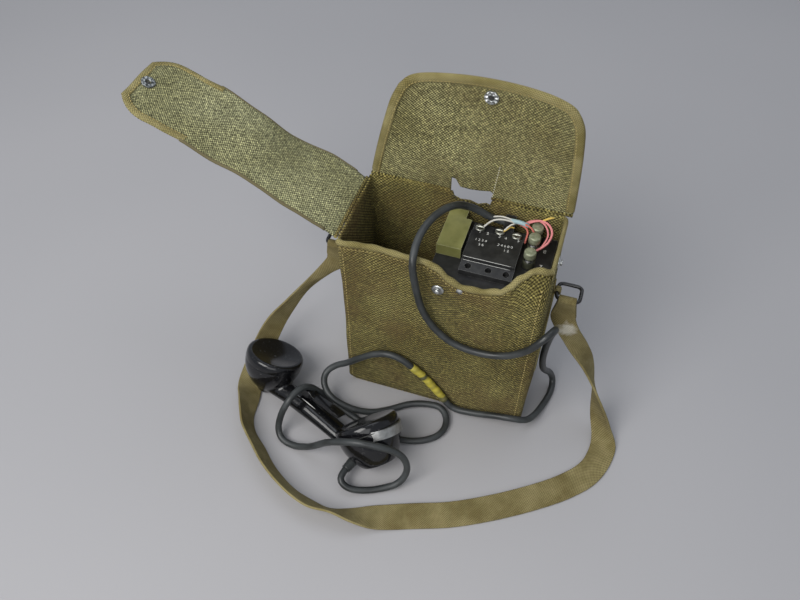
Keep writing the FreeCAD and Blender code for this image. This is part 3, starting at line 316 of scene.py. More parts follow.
# Materials
class Finish:
    """A procedural material, built up from short calls."""

    def __init__(self, name, rough=0.8, metal=0.0):
        self.material = bpy.data.materials.new(name)
        self.material.use_nodes = True
        self.tree = self.material.node_tree
        self.surface = self.tree.nodes["Principled BSDF"]
        self.set("Roughness", rough).set("Metallic", metal)
        self.spot = self.tree.nodes.new("ShaderNodeTexCoord")

    def feed(self, socket, value):
        """Give a socket a number, a colour or another node's output."""
        if isinstance(value, bpy.types.NodeSocket):
            self.tree.links.new(value, socket)
        elif socket.type == "RGBA" and len(value) == 3:
            socket.default_value = (*value, 1)
        else:
            socket.default_value = value

    def set(self, name, value):
        self.feed(self.surface.inputs[name], value)
        return self

    def add(self, kind, values=(), **settings):
        """A new node, with its inputs by order or by name."""
        item = self.tree.nodes.new(kind)
        for key, value in settings.items():
            setattr(item, key, value)
        inputs = values.items() if isinstance(values, dict) else enumerate(values)
        for key, value in inputs:
            self.feed(item.inputs[key], value)
        return item

    def sum(self, kind, *values):
        return self.add("ShaderNodeMath", values, operation=kind).outputs[0]

    def times(self, value, factor):
        return self.sum("MULTIPLY", value, factor)

    def scaled(self, value, factor, shift):
        return self.sum("MULTIPLY_ADD", value, factor, shift)

    def noise(self, scale, detail=3.0, vector=None, rough=0.55):
        values = {"Scale": scale, "Detail": detail, "Roughness": rough,
                  "Vector": vector or self.spot.outputs["Object"]}
        return self.add("ShaderNodeTexNoise", values).outputs["Fac"]

    def ramp(self, value, *stops):
        item = self.add("ShaderNodeValToRGB", (value,))
        band = item.color_ramp
        while len(band.elements) < len(stops):
            band.elements.new(0.5)
        for element, (place, colour) in zip(band.elements, stops):
            element.position = place
            element.color = (*colour, 1)
        return item.outputs["Color"]

    def grey(self, value, low, high):
        return self.ramp(value, (low, (0, 0, 0)), (high, (1, 1, 1)))

    def mix(self, share, first, second, blend="MIX"):
        values = {0: share, 6: first, 7: second}
        return self.add("ShaderNodeMix", values, data_type="RGBA", blend_type=blend).outputs[2]

    def patches(self, base, tint, share, scale, detail, low, high, rough=0.55):
        """Ragged patches of a tint over a base colour."""
        where = self.grey(self.noise(scale, detail, rough=rough), low, high)
        return self.mix(self.times(where, share), base, tint)

    def mottle(self, dark, light, scale, detail, low, high, rough=0.55):
        """Soft patches between a dark and a light colour."""
        return self.mix(self.grey(self.noise(scale, detail, rough=rough), low, high), dark, light)

    def wave(self, axis, pitch, shift=0.0):
        """A sine from -1 to 1 along one axis of the UVs, its period in metres."""
        parts = self.add("ShaderNodeSeparateXYZ", (self.spot.outputs["UV"],))
        return self.sum("SINE", self.scaled(parts.outputs[axis], math.tau / pitch, shift))

    def bump(self, height, strength, distance):
        item = self.add("ShaderNodeBump", {"Strength": strength, "Distance": distance, "Height": height})
        self.set("Normal", item.outputs["Normal"])

    def edge(self, radius):
        """One at worn outer edges and nought on flats."""
        soft = self.add("ShaderNodeBevel", {"Radius": radius}, samples=4)
        flat = self.add("ShaderNodeNewGeometry")
        dot = self.add("ShaderNodeVectorMath", (soft.outputs[0], flat.outputs["Normal"]),
                       operation="DOT_PRODUCT")
        return self.sum("SUBTRACT", 1.0, dot.outputs["Value"])


def shade(colour, factor):
    return tuple(channel * factor for channel in colour)


def woven_surface(cloth, colour, height, strength, distance):
    cloth.set("Base Color", colour).set("Sheen Weight", 0.04).set("Specular IOR Level", 0.12)
    cloth.bump(height, strength, distance)
    return cloth.material


def canvas(name, dark, light, pitch=0.0031, stain=0.0):
    """Coarse basket-woven canvas, with faded, soiled and dusty patches, painted shade in the weave's hollows
    and painted highlight on its knots.
    """
    cloth = Finish(name, 0.93)
    sway = cloth.times(cloth.noise(55, 2), 1.3)
    knots = cloth.times(cloth.wave(0, pitch, sway), cloth.wave(1, pitch * 0.93, sway))
    height = cloth.scaled(knots, 0.5, 0.5)
    faded = cloth.mottle(dark, light, 13, 4, 0.36, 0.66)
    fine = cloth.noise(430, 3, rough=0.8)
    thread = cloth.ramp(fine, (0.30, (0.22, 0.21, 0.18)), (0.50, (0.95, 0.95, 0.94)),
                        (0.72, (2.5, 2.45, 2.3)))
    # painted shade: the weave's hollows are darkened and its knots lightened, as light falls on them
    painted_weave_shading = cloth.ramp(height, (0.0, (0.10, 0.09, 0.06)), (0.40, (0.72, 0.70, 0.66)),
                        (1.0, (1.95, 1.95, 1.90)))
    colour = cloth.mix(1.0, cloth.mix(1.0, faded, painted_weave_shading, "MULTIPLY"), thread, "MULTIPLY")
    colour = cloth.patches(colour, shade(light, 1.9), 0.3, 95, 6, 0.56, 0.74, 0.75)
    colour = cloth.patches(colour, shade(dark, 0.42), 0.42, 19, 5, 0.55, 0.72, 0.7)
    if stain:
        colour = cloth.patches(colour, (0.115, 0.066, 0.026), stain, 17, 4, 0.46, 0.64)
    return woven_surface(cloth, colour, cloth.scaled(fine, 0.6, height), 1.0, 0.0010)


def webbing(name, dark, light, bare=None):
    """Narrow woven tape, with ribs along it, worn pale spots, at most one bare white patch, painted shade in
    the weave's hollows and painted highlight on its raised threads.
    """
    cloth = Finish(name, 0.9)
    height = cloth.scaled(cloth.times(cloth.wave(0, 0.0021), cloth.wave(1, 0.0024)), 0.5, 0.5)
    faded = cloth.mottle(dark, light, 30, 5, 0.38, 0.64, 0.7)
    # painted shade in the weave's hollows and painted highlight on its raised threads
    painted_weave_shading = cloth.ramp(height, (0.0, (0.38, 0.36, 0.3)), (0.5, (0.95, 0.95, 0.95)), (1.0, (1.35, 1.35, 1.3)))
    colour = cloth.mix(1.0, faded, painted_weave_shading, "MULTIPLY")
    colour = cloth.patches(colour, shade(light, 1.6), 0.6, 48, 5, 0.62, 0.8, 0.7)
    colour = cloth.patches(colour, shade(dark, 0.45), 0.4, 24, 5, 0.56, 0.72, 0.7)
    if bare:
        reach = cloth.add("ShaderNodeVectorMath", (cloth.spot.outputs["Object"], bare), operation="DISTANCE")
        ragged = cloth.scaled(cloth.noise(170, 4), 0.016, reach.outputs["Value"])
        near = cloth.sum("SUBTRACT", 1.0, cloth.grey(ragged, 0.013, 0.018))
        colour = cloth.mix(cloth.times(near, 0.85), colour, (0.60, 0.57, 0.48))
    return woven_surface(cloth, colour, height, 0.9, 0.0007)


def plain(name, dark, light, rough, metal=0.0, grain=60, depth=0.0002, gloss=0.12, edge=None, radius=0.0006):
    """Painted, moulded or plated surface with mottling, fine grain and worn edges."""
    skin = Finish(name, rough, metal)
    colour = skin.mottle(dark, light, grain, 5, 0.35, 0.68)
    if edge:
        bare = skin.grey(skin.scaled(skin.noise(grain * 4, 3), 0.25, skin.edge(radius)), 0.19, 0.34)
        colour = skin.mix(bare, colour, edge)
    skin.set("Base Color", colour)
    skin.set("Roughness", skin.scaled(skin.noise(grain * 3, 3), gloss, rough - gloss / 2))
    skin.bump(skin.noise(grain * 12, 2), 0.25, depth)
    return skin.material


def twisted(name, colour, light):
    """Thread or cloth-covered wire, with a slanting lay."""
    thread = Finish(name, 0.85)
    parts = thread.add("ShaderNodeSeparateXYZ", (thread.spot.outputs["UV"],))
    slope = thread.sum("ADD", parts.outputs[0], parts.outputs[1])
    lay = thread.sum("SINE", thread.times(slope, math.tau / 0.0011))
    tone = thread.scaled(lay, 0.35, 0.5)
    thread.set("Base Color", thread.mix(tone, colour, light))
    thread.bump(tone, 0.3, 0.0002)
    return thread.material


def rubber_cord():
    """Dark grey rubber with dust, scuffs and a soft bluish sheen."""
    skin = Finish("cord_rubber_skin", 0.42)
    patch = skin.grey(skin.noise(45, 5), 0.35, 0.7)
    colour = skin.mix(patch, (0.020, 0.022, 0.022), (0.050, 0.055, 0.056))
    skin.set("Base Color", skin.patches(colour, (0.19, 0.195, 0.18), 0.4, 210, 4, 0.62, 0.8, 0.75))
    skin.set("Roughness", skin.scaled(patch, 0.2, 0.34)).set("Specular IOR Level", 0.45)
    skin.bump(skin.noise(900, 2), 0.2, 0.0001)
    return skin.material


def wrapped_tape():
    """Yellow tape in slanting turns, open at two places where the dark cord shows."""
    tape = Finish("tape_turns", 0.55)
    parts = tape.add("ShaderNodeSeparateXYZ", (tape.spot.outputs["UV"],))
    slope = tape.scaled(parts.outputs[0], 0.35, parts.outputs[1])
    share = tape.sum("DIVIDE", tape.scaled(tape.noise(150, 3), 0.006, slope), TAPE_SPAN)
    yellow, gap = (0.50, 0.42, 0.045), (0.060, 0.062, 0.028)
    band = tape.ramp(share, (0.0, yellow), (0.11, (0.40, 0.34, 0.05)), (0.14, gap),
                     (0.25, (0.095, 0.09, 0.03)), (0.28, yellow), (0.76, yellow), (0.78, gap), (0.82, gap),
                     (0.85, yellow), (1.0, (0.42, 0.36, 0.05)))
    turn = tape.sum("SINE", tape.times(slope, math.tau / 0.0075))
    lit = tape.mix(tape.scaled(turn, 0.14, 0.16), band, (0.12, 0.11, 0.035))
    tape.set("Base Color", tape.patches(lit, (0.20, 0.17, 0.06), 0.45, 160, 4, 0.5, 0.7))
    tape.bump(turn, 0.5, 0.0004)
    return tape.material


def black_moulding():
    """Glossy black moulding with dust specks, faint scratches and rubbed paint."""
    shell = Finish("bakelite_shell", 0.12)
    dust = shell.grey(shell.noise(430, 4, rough=0.8), 0.62, 0.70)
    drawn = shell.add("ShaderNodeMapping", {"Vector": shell.spot.outputs["Object"], "Scale": (30, 700, 300)})
    scratch = shell.grey(shell.noise(2.0, 3, drawn.outputs[0]), 0.66, 0.72)
    marks = shell.sum("MAXIMUM", shell.times(dust, 0.34), shell.times(scratch, 0.10))
    shell.set("Base Color", shell.mix(marks, (0.006, 0.006, 0.007), (0.30, 0.30, 0.29)))
    shell.set("Roughness", shell.scaled(shell.noise(24, 4), 0.22, 0.05))
    shell.set("Coat Weight", 0.12).set("Coat Roughness", 0.06).set("Specular IOR Level", 0.42)
    shell.bump(shell.noise(70, 2), 0.08, 0.0006)
    return shell.material


def studio_floor():
    ground = Finish("studio_floor", 0.75)
    ground.set("Base Color", ground.mottle((0.345, 0.340, 0.350), (0.378, 0.370, 0.378), 1.3, 2, 0.3, 0.7))
    ground.set("Specular IOR Level", 0.25)
    ground.bump(ground.noise(260, 3), 0.06, 0.0004)
    return ground.material


CANVAS_DARK, CANVAS_LIGHT = (0.114, 0.095, 0.030), (0.190, 0.168, 0.062)
MATERIALS = {
    "canvas": canvas("canvas_outside", CANVAS_DARK, CANVAS_LIGHT, pitch=0.0038, stain=0.38),
    "canvas_lid": canvas("canvas_lid", (0.186, 0.170, 0.074), (0.268, 0.255, 0.128), stain=0.16),
    "canvas_flap": canvas("canvas_flap", (0.236, 0.232, 0.122), (0.318, 0.318, 0.186), pitch=0.0027),
    "binding": webbing("binding_tape", (0.205, 0.170, 0.062), (0.330, 0.285, 0.130)),
    "webbing": webbing(
        "strap_webbing", (0.180, 0.145, 0.058), (0.290, 0.245, 0.115), (0.1205, -0.0145, 0.138)),
    "edge_thread": twisted("worn_edge", (0.075, 0.062, 0.026), (0.17, 0.145, 0.07)),
    "snap_worn": plain("snap_worn", (0.05, 0.055, 0.055), (0.40, 0.42, 0.42), 0.4, 0.9, 420, 0.0003, 0.3),
    "thread": twisted("tan_thread", (0.30, 0.23, 0.07), (0.52, 0.42, 0.17)),
    "white_thread": twisted("pale_thread", (0.42, 0.40, 0.30), (0.62, 0.60, 0.48)),
    "snap": plain("snap_plate", (0.30, 0.31, 0.30), (0.72, 0.73, 0.72), 0.34, 1.0, 240, 0.0003, 0.3),
    "snap_dark": plain("snap_shadow", (0.018, 0.019, 0.018), (0.06, 0.06, 0.055), 0.6, 0.3, 200),
    "black_wire": plain(
        "black_enamel", (0.006, 0.006, 0.006), (0.02, 0.02, 0.02), 0.28, 0.0, 90, edge=(0.12, 0.11, 0.1)),
    "chassis_paint": plain(
        "olive_paint", (0.155, 0.155, 0.045), (0.250, 0.245, 0.085), 0.5, 0.0, 55, edge=(0.36, 0.36, 0.20),
        radius=0.0012),
    "panel_black": plain(
        "panel_face", (0.008, 0.008, 0.009), (0.026, 0.026, 0.026), 0.42, 0.0, 120, edge=(0.22, 0.22, 0.21),
        radius=0.0005),
    "screw_nickel": plain("dull_nickel", (0.24, 0.24, 0.20), (0.58, 0.58, 0.52), 0.38, 1.0, 300, 0.0002, 0.3),
    "steel": plain("bare_steel", (0.28, 0.28, 0.28), (0.52, 0.52, 0.52), 0.36, 1.0, 200, 0.0001, 0.2),
    "iron": plain("dark_iron", (0.06, 0.055, 0.05), (0.16, 0.15, 0.14), 0.6, 0.8, 150, 0.0003),
    "post_green": plain(
        "tarnished_plate", (0.22, 0.24, 0.15), (0.42, 0.44, 0.31), 0.5, 0.45, 260, 0.0002, 0.25,
        edge=(0.55, 0.56, 0.45), radius=0.0006),
    "collar_dark": plain("collar_mould", (0.025, 0.028, 0.018), (0.07, 0.072, 0.045), 0.4, 0.0, 200),
    "capsule_grey": plain("can_metal", (0.3, 0.3, 0.29), (0.5, 0.5, 0.48), 0.4, 0.9, 180),
    "zinc": plain("cell_sleeve", (0.10, 0.09, 0.06), (0.20, 0.18, 0.12), 0.7, 0.0, 90),
    "brass_bell": plain("bell_brass", (0.42, 0.29, 0.10), (0.66, 0.48, 0.20), 0.3, 1.0, 120),
    "coil_red": plain("coil_varnish", (0.15, 0.02, 0.012), (0.30, 0.05, 0.03), 0.35, 0.0, 160),
    "bakelite": black_moulding(),
    "cord_rubber": rubber_cord(),
    "tape_yellow": wrapped_tape(),
    "white_paint": plain("white_paint", (0.5, 0.5, 0.47), (0.78, 0.78, 0.74), 0.6, 0.0, 700),
    "wire_white": twisted("white_lead", (0.45, 0.43, 0.38), (0.72, 0.70, 0.64)),
    "wire_red": twisted("red_lead", (0.42, 0.07, 0.05), (0.66, 0.22, 0.17)),
    "wire_pink": twisted("pink_lead", (0.60, 0.14, 0.15), (0.78, 0.34, 0.33)),
    "wire_yellow": twisted("yellow_lead", (0.55, 0.36, 0.05), (0.75, 0.56, 0.16)),
    "wire_blue": twisted("blue_lead", (0.20, 0.34, 0.38), (0.50, 0.62, 0.64)),
    "rivet_rust": plain("rivet_rust", (0.20, 0.12, 0.04), (0.42, 0.30, 0.12), 0.6, 0.4, 400),
    "floor": studio_floor(),
}


# Camera, floor and light
LAMPS = [("window", (-0.65, -1.15, 1.5), (-0.05, -0.10, 0.05), 1.1, 27.0, (1.0, 0.985, 0.96)),
         ("sky", (-0.1, 0.8, 1.9), (0.0, 0.0, 0.1), 1.6, 11.0, (0.90, 0.94, 1.0)),
         ("front_fill", (0.35, -1.6, 1.1), (0.0, -0.05, 0.1), 1.2, 8.0, (1.0, 1.0, 1.0))]
FLOOR_REACH = 3.0


def set_stage():
    eye = bpy.data.cameras.new("camera")
    eye.lens = 34.2
    eye.sensor_width = 36
    camera = bpy.data.objects.new("camera", eye)
    camera.location = (0.10785, -0.48291, 0.71284)
    camera.rotation_euler = (math.radians(39.75), 0, math.radians(18.28))
    scene = bpy.context.scene
    scene.collection.objects.link(camera)
    scene.camera = camera
    scene.view_settings.view_transform = "Standard"
    rows = [[(x * FLOOR_REACH, y * FLOOR_REACH, 0) for x in (-1, 0, 1)] for y in (-1, 0, 1)]
    grid("floor", rows, "floor")
    for name, place, target, size, power, colour in LAMPS:
        light = bpy.data.lights.new(name, "AREA")
        light.size = size
        light.energy = power
        light.color = colour
        lamp = bpy.data.objects.new(name, light)
        lamp.location = place
        lamp.rotation_euler = (Vector(target) - Vector(place)).to_track_quat("-Z", "Y").to_euler()
        scene.collection.objects.link(lamp)
    world = bpy.data.worlds.new("world")
    scene.world = world
    world.use_nodes = True
    ambient = world.node_tree.nodes["Background"]
    ambient.inputs["Color"].default_value = (0.80, 0.86, 0.95, 1)
    ambient.inputs["Strength"].default_value = 0.42


# CAD nodes that stay in view, by finish
FINISHES = {
    "chassis_paint": ["chassis_frame", "battery_tray", "equipment_shelf", "switch_cover", "ringer_frame"],
    "panel_black": ["terminal_panel", "terminal_block", "cord_clamp", "induction_coil"],
    "screw_nickel": ["generator_frame", "crank_arm"],
    "steel": ["crank_shaft", "drive_gear", "clapper", "generator_magnets"],
    "iron": ["generator_rotor"],
    "bakelite": ["crank_knob"],
    "capsule_grey": ["handset_capsules", "capacitor"],
    "zinc": ["battery_cells"],
    "brass_bell": ["ringer_gongs"],
    "coil_red": ["ringer_coils"],
}


def dress(node, material):
    """Give a CAD node its finished material."""
    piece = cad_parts[node]
    if isinstance(piece, str):
        piece = bpy.data.objects[piece]
    for slot in piece.material_slots:
        slot.material = material
    if not piece.material_slots:
        raise ValueError(node + " has no material slot")


def seat(piece, body, slot, *nodes):
    """Let a piece ride on a body and stand for CAD nodes; the slot argument is not used."""
    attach(piece, body)
    if nodes:
        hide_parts(*nodes)
    return piece


def once(number, node):
    """The CAD node that the first of several pieces stands for."""
    return [node] if number == 1 else []


# Cord: one smooth line from the clamp, down the front and round to the handset
GLAND_END = Vector((-0.0565, -0.158, 0.014))
GLAND_WAY = Vector((0.34, 0.94, 0)).normalized()


def in_tape(spot):
    (right, _, low), (left, _, high) = TAPE_ROUTE[0], TAPE_ROUTE[-1]
    return left <= spot.x <= right and low <= spot.z <= high and -0.0545 < spot.y < -0.0525


def make_cord():
    route = UPPER_ROUTE[:-1] + TAPE_ROUTE[:-1] + LOWER_ROUTE
    curve = bpy.data.curves.new("phone_cord", "CURVE")
    curve.dimensions = "3D"
    curve.bevel_depth = CORD_RADIUS
    curve.bevel_resolution = 5
    curve.use_fill_caps = True
    add_route(curve, route)
    curve.materials.append(MATERIALS["cord_rubber"])
    cord = bpy.data.objects.new("phone_cord", curve)
    bpy.context.scene.collection.objects.link(cord)
    seat(cord, "root", "cord_rubber", "cord_upper", "cord_lower")
    wrapped = [spot for spot in spline_line(route) if in_tape(spot)]
    tape = tube("splice_tape", wrapped, lambda t: 0.0041 + 0.00025 * math.sin(t * 30), "tape_yellow", 16)
    seat(tape, "root", "tape_yellow", "cord_tape")
    line = [GLAND_END + GLAND_WAY * (0.014 * n / 12 - 0.001) for n in range(13)]
    gland = tube("cord_gland", line, lambda t: 0.0046 + 0.0010 * t + 0.0002 * math.cos(t * 26),
                 "cord_rubber", 20)
    seat(gland, "root", "cord_rubber", "handset_gland")


# Bag shell: one lofted canvas wall, with a rounded base and a cut-down front edge
FRONT_TOP = mm(
    (-98, 218.5), (-64, 219.5), (-36, 217.5), (-14, 218.5), (-2, 215.5), (9, 206.6), (22, 200.4), (39, 200.8),
    (56, 206), (65, 215), (72, 224), (79, 229), (87, 230), (93, 227), (98, 224))
FRONT_LEAN = mm((60, 0), (72, 6), (85, 13), (98, 17))
TEAR_SHELL = mm(
    (-16.5, 231), (-12.5, 218.5), (-6, 215.8), (3, 216.8), (11, 214.2), (19, 217.8), (22.5, 216.5), (26, 231))
HALF_WIDTH, HALF_DEPTH, CORNER = 0.098, 0.048, 0.007
PORT_Y, PORT_Z = 0.002, 0.108


def ring_spots():
    """Points of the bag's plan, from the left front corner round to the right."""
    corners = [Vector((x * HALF_WIDTH, y * HALF_DEPTH, 0)) for x, y in ((-1, -1), (1, -1), (1, 1), (-1, 1))]
    spots = []
    for n, count in enumerate((44, 22, 44, 22)):
        start, end = corners[n], corners[n - 3]
        way = (end - start).normalized()
        out = way.cross(UP)
        first, last = start + way * CORNER, end - way * CORNER
        spots += [(first.lerp(last, k / (count - 1)), out) for k in range(count)]
        for facing in (out * 2 + way, out.lerp(way, 0.5), out + way * 2):
            turn = facing.normalized()
            spots.append((last - out * CORNER + turn * CORNER, turn))
    return spots


def wall_top(spot):
    """Height and backward lean of the bag's edge above a point of its plan."""
    if spot.y < -HALF_DEPTH + 0.004:
        return table(FRONT_TOP, spot.x), table(FRONT_LEAN, spot.x)
    if spot.x > HALF_WIDTH - 0.004:
        along = (spot.y + HALF_DEPTH) / (2 * HALF_DEPTH)
        return 0.2240 - 0.002 * math.sin(along * math.pi), 0.017 * (1 - along) ** 2
    return (0.2240 if spot.y > HALF_DEPTH - 0.004 else 0.2210), 0.0


def wall_sag(spot, out, height, top):
    """How far the canvas stands in or out from its flat plan."""
    t = height / top
    arch = math.sin(math.pi * t)
    wave = noise.noise(Vector((spot.x * 14, spot.y * 14, height * 11 + 3.1))) * 0.0022
    wave += noise.noise(Vector((spot.x * 38, spot.y * 38, height * 30))) * 0.0006
    hollow = 0.0
    if out.y < -0.7:
        hollow = 0.0050 * math.sin(math.pi * min(1, max(0, (spot.x + 0.098) / 0.110))) * t * t
        hollow += 0.0010 * arch
    if out.x < -0.7:
        hollow = 0.0065 * math.sin(math.pi * (spot.y + 0.048) / 0.096) * arch ** 0.7
    if out.x > 0.7:
        hollow = -0.0012 * math.sin(math.pi * (spot.y + 0.048) / 0.096) * arch
    bottom = max(0.0, 1 - height / 0.010)
    return wave * min(1, height / 0.02) - hollow - 0.0045 * bottom * bottom


def make_shell():
    """The bag's wall and base, with the crank port and a tear. Gives the rows of its outer face."""
    spots = ring_spots()
    rows = [[Vector((spot.x * share, spot.y * share, CLOTH)) for spot, _ in spots]
            for share in (0.25, 0.6, 0.9)]
    rows.append([Vector((spot.x * 0.965, spot.y * 0.93, CLOTH)) for spot, _ in spots])
    count = 44
    for n in range(1, count + 1):
        share = (n / count) ** 0.9
        row = []
        for spot, out in spots:
            top, lean = wall_top(spot)
            height = CLOTH + (top - CLOTH) * share
            back = lean * max(0, (share - 0.86) / 0.14) ** 1.3
            row.append(spot + out * wall_sag(spot, out, height, top) + Vector((0, back, height)))
        rows.append(row)
    shell = grid("bag_shell", rows, "canvas", around=True)
    cap_ends(shell, end_rings(len(spots), 1)[:1])
    thicken(shell, CLOTH, -1.0)
    bore = [(0.080, PORT_Y, PORT_Z), (0.115, PORT_Y, PORT_Z)]
    carve(shell, tube("port_cutter", bore, 0.0385, "binding", 64))
    carve(shell, slab("tear_cutter", TEAR_SHELL, 0.040, 0.056))
    seat(shell, "root", "canvas", "bag_front", "bag_back", "bag_left", "bag_right", "bag_bottom")
    return rows


def rim_line(rim, chosen, inward):
    """Points along part of the bag's rim."""
    return [top - out * inward for (spot, out), top in zip(ring_spots(), rim) if chosen(spot)]


def bind_edge(name, line, face, width=0.0078, half=0.0014):
    """A tape folded over a cloth's edge, and the line where its stitches go."""
    rows, seam = [], []
    for n, spot in enumerate(line):
        way = (line[min(n + 1, len(line) - 1)] - line[max(n - 1, 0)]).normalized()
        inward = way.cross(face).normalized()
        wobble = 1 + 0.06 * noise.noise(spot * 60)
        upper = [(width * wobble, half * 0.75), (width * 0.96, half + 0.0004), (width * 0.4, half + 0.0005),
                 (0.0004, half)]
        profile = upper + [(-0.0008, 0.0)] + [(reach, -lift) for reach, lift in reversed(upper)]
        rows.append([spot + inward * reach + face * lift for reach, lift in profile])
        seam.append(spot + inward * (width * 0.78) + face * (half + 0.0005))
    return seam, grid(name, rows, "binding")


HINGE_ROLLS = [("lid_roll_1", "lid", (-0.0968, 0.0488, 0.2238), (-0.0168, 0.0488, 0.2240)),
               ("lid_roll_2", "lid", (0.0228, 0.0488, 0.2240), (0.0998, 0.0488, 0.2238)),
               ("flap_roll", "flap", (-0.0993, -0.0425, 0.2212), (-0.0993, 0.0425, 0.2214))]


def make_bindings(shell_rows):
    """Rolled binding on the front edge and over the right and left walls, with its stitching."""
    front = rim_line(shell_rows[-1], lambda spot: spot.y < -0.0440, 0.0011)
    front.sort(key=lambda spot: spot.x)
    roll = tube("front_binding", smooth(front, 2), lambda t: 0.0029 + 0.0003 * math.sin(t * 70),
                "binding", 14)
    seat(roll, "root", "piping", "front_piping")
    right = rim_line(shell_rows[-1], lambda spot: spot.x > 0.092 and spot.y > -0.047, 0.0011)
    lifted = [point + UP * 0.0004 for point in smooth(right, 2)]
    _, side = bind_edge("right_binding", lifted, Vector((1, 0, 0)), 0.0082, 0.0016)
    seat(side, "root", "piping")
    seam = [point + Vector((0, -0.0014, -0.0056)) for point in front]
    seat(stitches("front_seam", smooth(seam, 2), (0, -1, 0.1), "thread", 0.0036), "root", "piping")
    columns = [n for low, high in ((-0.091, -0.0885), (0.0885, 0.091))
               for n, (spot, _) in enumerate(ring_spots()) if spot.y < -0.0479 and low < spot.x < high]
    for number, column in enumerate(columns[:2], start=1):
        line = [row[column] + Vector((0, -0.0003, 0)) for row in shell_rows[5:-3]]
        seat(stitches(f"side_seam_{number}", line, FRONT, "thread", 0.0042, 0.0024, 0.0009), "root", "piping")
    base = [Vector((x / 1000, -0.0485, 0.0085)) for x in range(-90, 92, 6)]
    seat(stitches("base_seam", base, FRONT, "thread", 0.0040), "root", "piping")
    ring = [Vector((0.0990, PORT_Y + across, PORT_Z + up)) for across, up in circle(0.0405, 72)]
    seat(tube("port_binding", ring, 0.0016, "binding", 10, closed=True), "root", "piping", "crank_port_ring")
    for name, body, start, end in HINGE_ROLLS:
        line = [Vector(start).lerp(Vector(end), n / 24) for n in range(25)]
        seat(tube(name, line, lambda t: 0.0017 + 0.0001 * math.sin(t * 50), "canvas", 12), body, "canvas")


# Lid: a tapered flap that stands up behind the bag, with a bound edge
LID_Y = 0.0495
LID_LEFT = mm((-96.6, 224), (-92.5, 245), (-87, 270), (-81.5, 293), (-76, 313), (-69, 328.5))
LID_TOP = mm(
    (-69, 328.5), (-60, 338), (-45.9, 343.6), (-20, 347.8), (17.8, 350.8), (45, 350), (65, 347), (81, 340.5),
    (88.5, 331))
LID_RIGHT = mm((100, 224), (99, 250), (97.5, 280), (95.5, 303), (93, 320), (88.5, 331))
TEAR_LID = mm(
    (-17, 216), (-16.8, 239.5), (-12.5, 238.8), (-7.8, 230), (1.9, 229.2), (12, 230.2), (21, 231.8),
    (23.6, 230), (22.9, 216))


def even(points, count):
    """Evenly spaced points along a smooth curve through the given ones."""
    line = smooth([(x, 0, z) for x, z in points], 12)
    reach = [0.0]
    for a, b in zip(line, line[1:]):
        reach.append(reach[-1] + (b - a).length)
    spots = []
    index = 0
    for n in range(count + 1):
        goal = reach[-1] * n / count
        while index < len(reach) - 2 and reach[index + 1] < goal:
            index += 1
        t = (goal - reach[index]) / max(1e-9, reach[index + 1] - reach[index])
        spots.append(line[index].lerp(line[index + 1], min(1, t)))
    return spots


def lid_depth(x, z):
    """The lid's depth at a point, with its slow waves."""
    up = (z - 0.224) / 0.127
    wave = 0.0016 * math.sin(3.1 * up + 24 * x) + 0.0010 * math.sin(46 * x - 5 * up)
    wave += noise.noise(Vector((x * 22, 2.0, z * 22))) * 0.0012
    return LID_Y + wave * min(1.0, up * 3)


def make_lid():
    across, rise = 46, 34
    left, right = even(LID_LEFT, rise), even(LID_RIGHT, rise)
    top = even(LID_TOP, across)
    base = [left[0].lerp(right[0], n / across) for n in range(across + 1)]
    rows = []
    for j in range(rise + 1):
        v = j / rise
        row = []
        for i in range(across + 1):
            u = i / across
            flat = (base[i] * (1 - v) + top[i] * v + left[j] * (1 - u) + right[j] * u
                    - (base[0] * (1 - u) + base[-1] * u) * (1 - v) - (top[0] * (1 - u) + top[-1] * u) * v)
            row.append(Vector((flat.x, lid_depth(flat.x, flat.z), flat.z)))
        rows.append(row)
    lid = thicken(grid("lid_cloth", rows, "canvas_lid"), CLOTH)
    carve(lid, slab("lid_tear", TEAR_LID, 0.040, 0.060))
    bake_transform(lid)
    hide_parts("lid_panel", "lid_front_drop")
    edge = even(LID_LEFT, 26)[1:-1] + even(LID_TOP, 40) + even(LID_RIGHT, 26)[::-1][1:-1]
    bound, bindings = bind_edge("lid_binding", [Vector((p.x, lid_depth(p.x, p.z), p.z)) for p in edge], FRONT)
    seam = stitches("lid_seam", bound, FRONT, "thread", 0.0034)
    middle = [Vector((0.0236 + 0.0035 * t, lid_depth(0.025, 0.232 + 0.02 * t) - 0.0013, 0.226 + 0.036 * t))
              for t in (0, 0.25, 0.5, 0.75, 1)]
    mend = stitches("lid_mend", middle, FRONT, "white_thread", 0.0030, 0.0020, 0.0010)
    for piece in (bindings, seam, mend):
        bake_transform(piece)


# Side flap: thrown out to the left in a slack wave
FLAP_START = Vector((-0.0995, 0, 0.2216))
FLAP_RISE = math.radians(26.8)
FLAP_ALONG = Vector((-math.cos(FLAP_RISE), 0, math.sin(FLAP_RISE)))
FLAP_FACE = Vector((math.sin(FLAP_RISE), 0, math.cos(FLAP_RISE)))
FLAP_LENGTH, FLAP_HALF = 0.221, 0.042
FLAP_HEIGHT = mm(
    (0, -1), (18, 1.5), (38, 2.5), (58, 1.2), (80, 1.8), (104, 3), (128, 1.2), (152, 2.2), (178, -0.8),
    (200, -2.2), (221, -3))


def flap_point(reach, share):
    """A point of the flap, from its length and its share of the half width."""
    corner = max(0.0, reach - (FLAP_LENGTH - 0.030)) / 0.030
    half = FLAP_HALF * (1 - 0.40 * corner ** 2.4)
    half *= 1 + 0.05 * math.sin(reach * 33)
    hump = math.exp(-((reach - 0.082) / 0.034) ** 2)
    curl = 0.0095 if share > 0 else 0.0030
    lift = table(FLAP_HEIGHT, reach) - share * curl * hump - 0.0015 * share * math.sin(reach * 40)
    lift += 0.0008 * math.sin(share * 4 + reach * 60)
    return FLAP_START + FLAP_ALONG * reach + FLAP_FACE * lift + Vector((0, share * half, 0))


